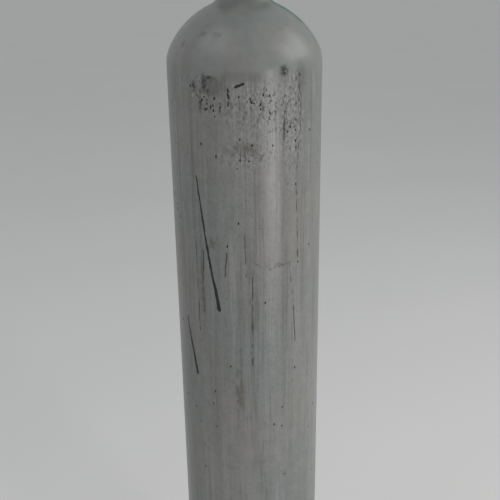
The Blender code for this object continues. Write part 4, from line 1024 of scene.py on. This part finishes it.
def window_panel(heights, outer, inner, reach, columns):
    """Closed loops of one panel, as a grid whose rows are loops round the window and whose columns go round it.

    On the outside the loops run from the panel's edge to the window, then round the window's outer edge, through the
    wall, round its inner edge, and back over the inside to the panel's edge. The window is a rectangle with round
    corners seen along Y: a point of it has x and height, and its place on a surface of radius r is at angle
    arcsin(x / r).
    """
    low, high = heights[-1], heights[0]
    width, corner, edge = 78 * MM, 12 * MM, 1.1 * MM
    bottom, top = low + 4.5 * MM, high - 5.4 * MM
    across = np.arange(-reach, reach + 1) * FULL_TURN / columns
    count = len(across) - 1
    side = len(heights) - 1
    rim_angle = np.concatenate((across[:-1], np.full(side, across[-1]), across[:0:-1], np.full(side, across[0])))
    rim_height = np.concatenate((np.full(count, low), heights[::-1][:-1], np.full(count, high), heights[:-1]))
    sides = []
    half_x, half_z = width / 2 - corner, (top - bottom) / 2 - corner
    for number, (steps, flat) in enumerate(((count, half_x), (side, half_z), (count, half_x), (side, half_z))):
        bend = corner * math.pi / 4
        along = np.linspace(0, 2 * flat + 2 * bend, steps + 1)[:-1]
        start = np.minimum(along / corner, math.pi / 4) - math.pi / 4
        turn = start + np.clip((along - bend - 2 * flat) / corner, 0, math.pi / 4)
        straight = np.clip(along - bend, 0, 2 * flat) - flat
        normal = turn - math.pi / 2 + number * math.pi / 2
        step = np.array((math.cos(number * math.pi / 2), math.sin(number * math.pi / 2)))
        out = np.array((math.cos((number - 1) * math.pi / 2), math.sin((number - 1) * math.pi / 2)))
        middle = out * (half_z if number % 2 == 0 else half_x)
        core = middle + straight[:, None] * step
        sides.append(np.column_stack((core, np.cos(normal), np.sin(normal))))
    loop = np.concatenate(sides)
    core, normal = loop[:, :2], loop[:, 2:]
    loops, wear = [], []
    for radius, depth_sign in ((outer, 1), (inner, -1)):
        rows, row_wear = [], []
        window = core + normal * (corner + edge)
        window_angle = np.arcsin(window[:, 0] / radius)
        for part in np.linspace(0, 1, 7):
            angle = rim_angle * (1 - part) + window_angle * part
            height = rim_height * (1 - part) + (window[:, 1] + (bottom + top) / 2) * part
            rows.append(np.column_stack((radius * np.sin(angle), -radius * np.cos(angle), height)))
            row_wear.append(0.35 * (part == 1))
        for turn in np.radians((22.5, 45, 67.5, 90)):
            spot = core + normal * (corner + edge * (1 - math.sin(turn)))
            depth = radius - depth_sign * edge * (1 - math.cos(turn))
            y = -np.sqrt(depth**2 - spot[:, 0] ** 2)
            rows.append(np.column_stack((spot[:, 0], y, spot[:, 1] + (bottom + top) / 2)))
            row_wear.append(1.0 - 0.6 * (turn > 1.5))
        loops.append(np.array(rows))
        wear.append(np.array(row_wear))
    return np.concatenate((loops[0], loops[1][::-1])), np.concatenate((wear[0], wear[1][::-1]))


class CYLINDER_OT_lock_screws(bpy.types.Operator):
    """Make the two slotted screws that lock the guard on its thread"""

    bl_idname = "cylinder.lock_screws"
    bl_label = "Lock screws"

    def execute(self, context):
        look = context.scene.cylinder_metals
        finish = machined("screw_steel", look.steel, context.scene.cylinder_paint.rust, 0.4, 0.2, 700.0)
        for name, side in (("guard_lock_screw_right", 1), ("guard_lock_screw_left", -1)):
            low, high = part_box(name)
            radius = (high.y - low.y) / 2
            near, far = sorted((abs(low.x), abs(high.x)))
            level = Matrix.Translation((0, 0, (low.z + high.z) / 2))
            where = level @ Matrix.Rotation(side * math.pi / 2, 4, "Y")
            corners = ((0, far, 0), (radius, far, 0.9 * MM), (radius, near, 0.3 * MM), (0, near, 0))
            grid = place(lathe(48, 1 * MM, *corners), where)
            slot = slab(1.4 * MM, 3 * radius, far - 1.8 * MM, far + 2 * MM, where)
            mesh = carve(skin(name, [grid]), [("DIFFERENCE", slot)])
            piece(name, mesh, "cylinder", finish)
        return {"FINISHED"}


class CYLINDER_OT_test_ring(bpy.types.Operator):
    """Make the plastic test ring that lies between neck and valve"""

    bl_idname = "cylinder.test_ring"
    bl_label = "Test ring"

    def execute(self, context):
        low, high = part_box("test_ring")
        columns, notches, depth, half_notch = 160, 12, 0.7 * MM, 0.08
        grid = lathe(
            columns,
            1.5 * MM,
            (TEST_RING_BORE, high.z - 0.2 * MM, 0),
            (18 * MM, high.z - 0.2 * MM, 0.2 * MM),
            (18.4 * MM, high.z - 0.6 * MM, 0.2 * MM),
            (high.x - 2.6 * MM, high.z - 0.6 * MM, 0.3 * MM),
            (high.x - 2.2 * MM, high.z, 0.3 * MM),
            (high.x, high.z, 0.5 * MM),
            (high.x, low.z, 0.5 * MM),
            (TEST_RING_BORE, low.z, 0),
            (TEST_RING_BORE, high.z - 0.2 * MM, 0),
        )
        step = round_angles(columns) * notches / FULL_TURN % 1
        notch = depth * np.clip(1 - ((step - 0.5) / half_notch) ** 2, 0, 1)
        grid = within(grid, high.x - notch)
        mesh = skin("test_ring", [grid])
        finish = moulded("ring_plastic", context.scene.cylinder_plastics.ring, 0.38)
        piece("test_ring", mesh, "cylinder", finish)
        return {"FINISHED"}


class CYLINDER_OT_valve_body(bpy.types.Operator):
    """Make the forged valve body, with its hexagon, bosses, threads and bores"""

    bl_idname = "cylinder.valve_body"
    bl_label = "Valve body"

    def execute(self, context):
        low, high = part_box("valve_body")
        front, back = -low.y, high.y
        shoulder = NECK_TOP + 2.6 * MM
        hex_top = shoulder + 12 * MM
        columns, boss_columns, bore_columns = 168, 96, 64
        outlet, relief = 14 * MM, 11 * MM
        outlet_foot = 24 * MM  # where the boss ends and the outlet's thread begins
        corner = hexagon_corner(34 * MM)
        grid = lathe(
            columns,
            0.9 * MM,
            (0, high.z, 0),
            (BARREL, high.z, 0.9 * MM),
            (BARREL, hex_top + 1.2 * MM, 1.2 * MM),
            (corner - 1.2 * MM, hex_top, 0.4 * MM),
            (corner, hex_top - 1.4 * MM, 0.5 * MM),
            (corner, shoulder + 1.4 * MM, 0.5 * MM),
            (corner - 1.2 * MM, shoulder + 0.4 * MM, 0.3 * MM),
            (BARREL - 0.4 * MM, shoulder, 0.3 * MM),
            (13.9 * MM, shoulder, 0.3 * MM),
            (13.9 * MM, NECK_TOP, 0.2 * MM),
            (12.4 * MM, low.z + 0.6 * MM, 0.4 * MM),
            (11.6 * MM, low.z, 0.3 * MM),
            (0, low.z, 0),
        )
        grid = within(grid, flat_sided(columns, 6, 34 * MM), shoulder, hex_top + 1 * MM)
        grid = boss_fillet(boss_fillet(grid, BARREL, OUTLET_AXIS, -1, outlet), BARREL, RELIEF_AXIS, 1, relief)
        outlet_boss = lathe(
            boss_columns,
            0.26 * MM,
            (0, front, 0),
            (OUTLET_THREAD, front, 1 * MM),
            (OUTLET_THREAD, outlet_foot, 0.3 * MM),
            (outlet, outlet_foot, 1 * MM),
            (outlet, 0, 0),
            (0, 0, 0),
        )
        first = outlet_foot + 0.6 * MM
        outlet_boss = threaded(outlet_boss, OUTLET_THREAD, OUTLET_PITCH, 1.16 * MM, first, front)
        relief_boss = lathe(boss_columns, 1 * MM, (0, back, 0), (relief, back, 0.9 * MM), (relief, 0, 0), (0, 0, 0))
        past = 5 * MM  # how far the bores' tools reach past the valve's ends
        seat, ceiling = NECK_TOP + 36 * MM, NECK_TOP + 69.1 * MM
        bores = stepped(
            (high.z + past, 12.3 * MM, ceiling),
            (ceiling, CHAMBER, seat),
            (seat, 6.2 * MM, seat + 1 * MM),
            (seat + 1 * MM, 4 * MM, low.z - past),
        )
        outlet_bore = np.array(
            (
                (0, front + past),
                (6.5 * MM, front + past),
                (6.5 * MM, front - 8 * MM),
                (3 * MM, front - 11 * MM),
                (3 * MM, 7 * MM),
                (0, 7 * MM),
            )
        )
        relief_bore = stepped((back + past, 8.3 * MM, 13 * MM), (13 * MM, RELIEF_BORE, 1 * MM))
        mesh = carve(
            skin("valve_body", [grid]),
            [
                ("UNION", skin("outlet_boss", [place(outlet_boss, FRONT)])),
                ("UNION", skin("relief_boss", [place(relief_boss, BACK)])),
                ("DIFFERENCE", skin("bores", [turned(bores, bore_columns)])),
                ("DIFFERENCE", skin("outlet_bore", [place(turned(outlet_bore, bore_columns), FRONT)])),
                ("DIFFERENCE", skin("relief_bore", [place(turned(relief_bore, bore_columns), BACK)])),
            ],
        )
        finish = brass_finish(context.scene.cylinder_metals)
        piece("valve_body", mesh, "cylinder", finish)
        return {"FINISHED"}


def stepped(*bores):
    """Profile of a stepped bar from (top, radius, bottom) stretches, closed on the axis at both ends."""
    sides = [point for top, radius, bottom in bores for point in ((radius, top), (radius, bottom))]
    return np.array([(0, bores[0][0]), *sides, (0, bores[-1][2])])


def boss_fillet(grid, barrel, level, side, boss):
    """The barrel with its surface raised round a boss: by rise (1 - (d - boss) / width) squared, where d is the
    distance from the boss's axis, seen along it. It meets the boss in a hollow bend."""
    rise, width = 2.4 * MM, 3.6 * MM
    x, y, z = np.moveaxis(grid, -1, 0)
    radius = np.maximum(np.hypot(x, y), 1e-9)
    away = np.hypot(x, z - level)
    on_barrel = (y * side > 0) & (np.abs(radius - barrel) < 0.05 * MM)
    raised = rise * np.clip(1 - (away - boss) / width, 0, 1) ** 2 * on_barrel
    return stretched(grid, 1 + raised / radius)


class CYLINDER_OT_bonnet(bpy.types.Operator):
    """Make the bonnet nut that closes the valve's chamber"""

    bl_idname = "cylinder.bonnet"
    bl_label = "Bonnet nut"

    def execute(self, context):
        low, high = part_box("bonnet_nut")
        columns = 144
        head = NECK_TOP + 75.7 * MM
        corner = hexagon_corner(27 * MM)
        grid = lathe(
            columns,
            1 * MM,
            (SPINDLE_BORE, high.z - 5 * MM, 0),
            (8.2 * MM, high.z - 5 * MM, 0),
            (8.2 * MM, high.z, 0.4 * MM),
            (12.7 * MM, high.z, 0.3 * MM),
            (corner, high.z - 1.6 * MM, 0.5 * MM),
            (corner, head + 0.9 * MM, 0.4 * MM),
            (13.2 * MM, head, 0.3 * MM),
            (12 * MM, head, 0),
            (12 * MM, low.z, 0.3 * MM),
            (SPINDLE_BORE, low.z, 0),
            (SPINDLE_BORE, high.z - 5 * MM, 0),
        )
        grid = within(grid, flat_sided(columns, 6, 27 * MM, 0.4 * MM), head, high.z)
        finish = brass_finish(context.scene.cylinder_metals, "turned_brass", 0.0, 1100.0, -0.04)
        piece("bonnet_nut", skin("bonnet_nut", [grid]), "cylinder", finish)
        return {"FINISHED"}


class CYLINDER_OT_spindle(bpy.types.Operator):
    """Make the spindle with its square and thread, and the spring, washer and nut that hold the handwheel"""

    bl_idname = "cylinder.spindle"
    bl_label = "Spindle"

    def execute(self, context):
        metals = context.scene.cylinder_metals
        low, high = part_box("valve_stem")
        wheel_low, wheel_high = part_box("handwheel")
        square_low, square_high = wheel_low.z - SEAT_GAP, wheel_high.z - SEAT_GAP
        flange_top = low.z + 5.5 * MM
        square, columns = 6.6 * MM, 72
        corner = square / math.sqrt(2) - 0.2 * MM
        grid = lathe(
            columns,
            0.3 * MM,
            (0, high.z, 0),
            (SPINDLE_END, high.z, 0.6 * MM),
            (SPINDLE_END, square_high, 0.1 * MM),
            (corner, square_high, 0.3 * MM),
            (corner, square_low, 0.1 * MM),
            (4.75 * MM, square_low, 0.2 * MM),
            (4.75 * MM, flange_top, 0.2 * MM),
            (9 * MM, flange_top, 0.4 * MM),
            (9 * MM, low.z, 0.4 * MM),
            (0, low.z, 0),
        )
        limit = flat_sided(columns, 4, square, 0.2 * MM)
        grid = within(grid, limit, square_low + 0.1 * MM, square_high + 0.05 * MM)
        grid = threaded(grid, SPINDLE_END, 1 * MM, 0.55 * MM, square_high + 0.3 * MM, high.z)
        slot = slab(25 * MM, 5 * MM, low.z - 5 * MM, low.z + 4 * MM)
        mesh = carve(skin("valve_stem", [grid]), [("DIFFERENCE", slot)])
        finish = brass_finish(metals, "spindle_brass", 0.0, 1300.0, -0.02)
        piece("valve_stem", mesh, "spindle", finish)

        low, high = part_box("handwheel_spring")
        grid = coil(6.8 * MM, 0.8 * MM, low.z, high.z, 4)
        steel = machined("spring_steel", metals.steel, context.scene.cylinder_paint.rust, 0.32, 0.06)
        piece("handwheel_spring", skin("handwheel_spring", [grid]), "spindle", steel)

        zinc = machined("zinc_plate", metals.zinc, (0.3, 0.3, 0.29), 0.36, 0.04, 1200.0)
        low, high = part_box("handwheel_washer")
        grid = lathe(
            96,
            1 * MM,
            (WASHER_BORE, high.z, 0),
            (high.x, high.z, 0.35 * MM),
            (high.x, low.z, 0.35 * MM),
            (WASHER_BORE, low.z, 0),
            (WASHER_BORE, high.z, 0),
        )
        piece("handwheel_washer", skin("handwheel_washer", [grid]), "spindle", zinc)

        low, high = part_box("handwheel_nut")
        columns = 120
        corner = hexagon_corner(10 * MM)
        grid = lathe(
            columns,
            0.5 * MM,
            (WASHER_BORE, high.z - 0.3 * MM, 0),
            (3.6 * MM, high.z, 0.1 * MM),
            (4.8 * MM, high.z, 0.2 * MM),
            (corner, high.z - 0.7 * MM, 0.2 * MM),
            (corner, low.z + 0.7 * MM, 0.2 * MM),
            (4.8 * MM, low.z, 0.2 * MM),
            (WASHER_BORE, low.z, 0),
            (WASHER_BORE, high.z - 0.3 * MM, 0),
        )
        grid = within(grid, flat_sided(columns, 6, 10 * MM, 0.15 * MM))
        piece("handwheel_nut", skin("handwheel_nut", [grid]), "spindle", zinc)
        return {"FINISHED"}


class CYLINDER_OT_handwheel(bpy.types.Operator):
    """Make the handwheel, with finger grips round its rim and holes through its web"""

    bl_idname = "cylinder.handwheel"
    bl_label = "Handwheel"

    def execute(self, context):
        look = context.scene.cylinder_wheel
        low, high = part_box("handwheel")
        radius, rim_width = 31 * MM, 7.5 * MM
        rim_inner = radius - rim_width
        middle = (low.z + high.z) / 2
        web, rim = 2 * MM, 4.5 * MM
        profile = rounded(
            (
                (0, high.z, 0),
                (8.6 * MM, high.z, 1 * MM),
                (9.1 * MM, middle + web, 2 * MM),
                (rim_inner, middle + web, 2.2 * MM),
                (rim_inner + 1.2 * MM, middle + rim, 2 * MM),
                (radius, middle + rim, 3.4 * MM),
                (radius, middle - rim, 3.4 * MM),
                (rim_inner + 1.2 * MM, middle - rim, 2 * MM),
                (rim_inner, middle - web, 2.2 * MM),
                (9.1 * MM, middle - web, 2 * MM),
                (8.6 * MM, low.z, 1 * MM),
                (0, low.z, 0),
            ),
            6,
        )
        profile = spaced(profile, 0.8 * MM)
        columns = 240
        wear = convexity(profile, 3.4 * MM)[:, None]
        grid = turned(profile, columns)
        step = FULL_TURN / look.grips
        off = (round_angles(columns) % step - step / 2) / (0.49 * step)
        dip = look.grip_depth * np.clip(1 - off**2, 0, 1) ** 1.5
        across = np.hypot(grid[..., 0], grid[..., 1])
        depth = dip * np.clip((across - rim_inner - 1 * MM) / (rim_width - 1 * MM), 0, 1)
        grid = stretched(grid, 1 - depth / np.maximum(across, 1e-9))
        tools = [("DIFFERENCE", slab(7.2 * MM, 7.2 * MM, low.z - 5 * MM, high.z + 5 * MM))]
        for number in range(look.holes):
            angle = FULL_TURN * (number + 0.5) / look.holes
            where = Matrix.Rotation(angle, 4, "Z") @ Matrix.Translation((16.25 * MM, 0, 0))
            tools.append(("DIFFERENCE", bar(look.hole_radius, low.z, high.z, where, 40)))
        mesh = carve(skin("handwheel", [grid], wear=[wear]), tools)
        piece("handwheel", mesh, "spindle", wheel_enamel(look))
        return {"FINISHED"}


class CYLINDER_OT_outlet_cap(bpy.types.Operator):
    """Make the fluted dust cap on the outlet"""

    bl_idname = "cylinder.outlet_cap"
    bl_label = "Outlet cap"

    def execute(self, context):
        low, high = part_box("outlet_cap")
        bottom, top = -high.y, -low.y
        columns, flutes = 240, 12
        radius, inner, ceiling = 15 * MM, 11.75 * MM, top - 3 * MM
        grid = lathe(
            columns,
            0.5 * MM,
            (0, top - 0.5 * MM, 0),
            (9.6 * MM, top - 0.5 * MM, 0.3 * MM),
            (10 * MM, top, 0.3 * MM),
            (radius, top, 2 * MM),
            (radius, bottom, 0.9 * MM),
            (inner, bottom, 0.6 * MM),
            (inner, ceiling, 0.3 * MM),
            (0, ceiling, 0),
        )
        grid = threaded(grid, inner, OUTLET_PITCH, -0.9 * MM, bottom, ceiling)
        step = FULL_TURN / flutes
        off = round_angles(columns) % step - step / 2
        flute, away = 1.6 * MM, 15.8 * MM
        hollow = away * np.cos(off) - np.sqrt(np.maximum(flute**2 - (away * np.sin(off)) ** 2, 0))
        limit = np.where(np.abs(away * np.sin(off)) < flute, hollow, radius)
        grid = within(grid, np.minimum(limit, radius), bottom + 3 * MM)
        finish = brass_finish(context.scene.cylinder_metals, "cap_brass", 0.0, 0.0, 0.0)
        mesh = skin("outlet_cap", [place(grid, FRONT)])
        piece("outlet_cap", mesh, "cap", finish, sharp=28)
        return {"FINISHED"}


class CYLINDER_OT_relief_plug(bpy.types.Operator):
    """Make the vented hexagon plug of the pressure relief"""

    bl_idname = "cylinder.relief_plug"
    bl_label = "Relief plug"

    def execute(self, context):
        low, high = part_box("relief_plug")
        shank, top = low.y, high.y
        head = top - 9 * MM
        level = (head + top) / 2
        corner = hexagon_corner(19 * MM)
        columns, ceiling = 144, level + 2.5 * MM
        grid = lathe(
            columns,
            0.7 * MM,
            (0, top - 0.4 * MM, 0),
            (5.4 * MM, top - 0.4 * MM, 0.2 * MM),
            (5.7 * MM, top, 0.2 * MM),
            (8.7 * MM, top, 0.3 * MM),
            (corner, top - 1.4 * MM, 0.4 * MM),
            (corner, head + 0.6 * MM, 0.3 * MM),
            (9.2 * MM, head, 0.2 * MM),
            (8 * MM, head, 0),
            (8 * MM, shank, 0.2 * MM),
            (RELIEF_BORE, shank, 0),
            (RELIEF_BORE, ceiling, 0),
            (0, ceiling, 0),
        )
        grid = within(grid, flat_sided(columns, 6, 19 * MM, 0.3 * MM), head, top)
        mesh = skin("relief_plug", [place(grid, BACK)])
        vents = []
        for turn in (0, math.pi / 2):
            where = BACK @ Matrix.Translation((0, 0, level)) @ Matrix.Rotation(turn, 4, "Z") @ ACROSS
            vents.append(("DIFFERENCE", bar(1.25 * MM, -15 * MM, 15 * MM, where, 24)))
        finish = brass_finish(context.scene.cylinder_metals, "relief_brass", 0.0, 1000.0, 0.02)
        piece("relief_plug", carve(mesh, vents), "cylinder", finish)
        return {"FINISHED"}


class CYLINDER_OT_hidden_pieces(bpy.types.Operator):
    """Give the CAD pieces that are left as they are, inside the valve, finishes of their own"""

    bl_idname = "cylinder.hidden_pieces"
    bl_label = "Hidden pieces"

    def execute(self, context):
        metals = context.scene.cylinder_metals
        rust = context.scene.cylinder_paint.rust
        nylon = context.scene.cylinder_plastics.nylon
        finishes = {
            "anti_debris_tube": brass_finish(metals, "tube_brass", 0.0, 800.0, 0.06),
            "drive_blade": machined("blade_steel", metals.steel, rust, 0.35, 0.02, 900.0),
            "valve_plug": brass_finish(metals, "plug_brass", 0.0, 1000.0, -0.04),
            "seat_pad": moulded("seat_nylon", nylon, 0.5, 0.05),
            "stem_gasket": moulded("gasket_nylon", nylon, 0.46, 0.07),
            "relief_gasket": machined("gasket_copper", metals.copper, metals.tarnish, 0.34, 0.05, 900.0),
            "burst_disc": machined("disc_copper", metals.copper, metals.tarnish, 0.25, 0.0, 700.0),
            "outlet_washer": moulded("washer_nylon", nylon, 0.48, 0.1),
        }
        for name, finish in finishes.items():
            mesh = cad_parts[name].data
            mesh.materials.clear()
            mesh.materials.append(finish)
        return {"FINISHED"}


# Stage --------------------------------------------------------------------------------------------


class CYLINDER_OT_stage(bpy.types.Operator):
    """Set the floor, the soft light and the camera"""

    bl_idname = "cylinder.stage"
    bl_label = "Stage"

    def execute(self, context):
        look = context.scene.cylinder_stage
        edge = 40.0  # half the floor's width
        floor = bpy.data.meshes.new("floor")
        corners = [(x * edge, y * edge, 0) for x, y in ((-1, -1), (1, -1), (1, 1), (-1, 1))]
        floor.from_pydata(corners, [], [(0, 1, 2, 3)])
        finish = Finish("floor", 0.75, specular=0.2)
        cloud = finish.noise(finish.object(), 1.4, 2.0, 0.5)
        grain = finish.noise(finish.object(), 320.0, 2.0, 0.6)
        darker = tuple(channel * 0.985 for channel in look.floor)
        base = finish.mix(finish.step(cloud, 0.3, 0.7), darker, tuple(look.floor))
        floor.materials.append(finish.finish(base, 0.75, finish.times(grain, 0.05 * MM)))
        ground = bpy.data.objects.new("floor", floor)
        context.scene.collection.objects.link(ground)

        world = bpy.data.worlds.new("even_light")
        world.use_nodes = True
        world.node_tree.nodes["Background"].inputs["Color"].default_value = (0.95, 0.97, 0.985, 1)
        world.node_tree.nodes["Background"].inputs["Strength"].default_value = look.ambient
        context.scene.world = world
        self.soft_light(context, "strip", look.strip, (0.24, 0.8), (1.34, -1.72, 0.64), (1.0, 0.97, 0.99))
        self.soft_light(context, "side", look.side, (2.2, 1.4), (2.2, -0.12, 2.4), (1.0, 0.98, 0.95))
        self.soft_light(context, "fill", look.fill, (1.6, 1.6), (-1.4, -0.7, 3.1), (0.97, 0.98, 1.0))

        data = bpy.data.cameras.new("camera")
        data.lens, data.sensor_width = 57.6, 36.0
        camera = bpy.data.objects.new("camera", data)
        camera.matrix_world = Matrix.Translation((0, -1.1465, 1.3435))
        for degrees, axis in ((-0.181, "Z"), (90 - 21.19, "X"), (-0.9, "Z")):
            camera.matrix_world @= Matrix.Rotation(math.radians(degrees), 4, axis)
        context.scene.collection.objects.link(camera)
        context.scene.camera = camera
        context.scene.view_settings.view_transform = "Standard"
        return {"FINISHED"}

    def soft_light(self, context, name, power, size, spot, tint):
        light = bpy.data.lights.new(name, "AREA")
        light.shape = "RECTANGLE"
        light.size, light.size_y = size
        light.energy = power
        light.color = tint
        lamp = bpy.data.objects.new(name, light)
        lamp.location = spot
        towards = Vector((0, 0, AIM)) - lamp.location
        lamp.rotation_euler = towards.to_track_quat("-Z", "Y").to_euler()
        lamp.visible_camera = False
        context.scene.collection.objects.link(lamp)


# Panel and registration ---------------------------------------------------------------------------


SETTINGS = {
    "cylinder_shell": ShellSettings,
    "cylinder_paint": PaintSettings,
    "cylinder_metals": MetalSettings,
    "cylinder_wheel": HandwheelSettings,
    "cylinder_plastics": PlasticSettings,
    "cylinder_stage": StageSettings,
}
OPERATORS = (
    CYLINDER_OT_shell,
    CYLINDER_OT_foot_ring,
    CYLINDER_OT_neck_ring,
    CYLINDER_OT_guard,
    CYLINDER_OT_lock_screws,
    CYLINDER_OT_test_ring,
    CYLINDER_OT_valve_body,
    CYLINDER_OT_bonnet,
    CYLINDER_OT_spindle,
    CYLINDER_OT_handwheel,
    CYLINDER_OT_outlet_cap,
    CYLINDER_OT_relief_plug,
    CYLINDER_OT_hidden_pieces,
    CYLINDER_OT_stage,
)


class CYLINDER_PT_panel(bpy.types.Panel):
    """Sizes, colours and build steps of the cylinder"""

    bl_idname = "CYLINDER_PT_panel"
    bl_label = "Oxygen Cylinder"
    bl_space_type = "VIEW_3D"
    bl_region_type = "UI"
    bl_category = "Cylinder"

    def draw(self, context):
        for name, group in SETTINGS.items():
            box = self.layout.box()
            box.label(text=group.__name__.replace("Settings", ""))
            for key in group.__annotations__:
                box.prop(getattr(context.scene, name), key)
        for operator in OPERATORS:
            self.layout.operator(operator.bl_idname)


def register():
    for item in (*SETTINGS.values(), *OPERATORS, CYLINDER_PT_panel):
        bpy.utils.register_class(item)
    for name, group in SETTINGS.items():
        setattr(bpy.types.Scene, name, PointerProperty(type=group))


def unregister():
    for name in SETTINGS:
        delattr(bpy.types.Scene, name)
    for item in reversed((*SETTINGS.values(), *OPERATORS, CYLINDER_PT_panel)):
        bpy.utils.unregister_class(item)


def main():
    register()
    for operator in OPERATORS:
        group, name = operator.bl_idname.split(".")
        getattr(getattr(bpy.ops, group), name)()


if __name__ == "__main__":
    main()
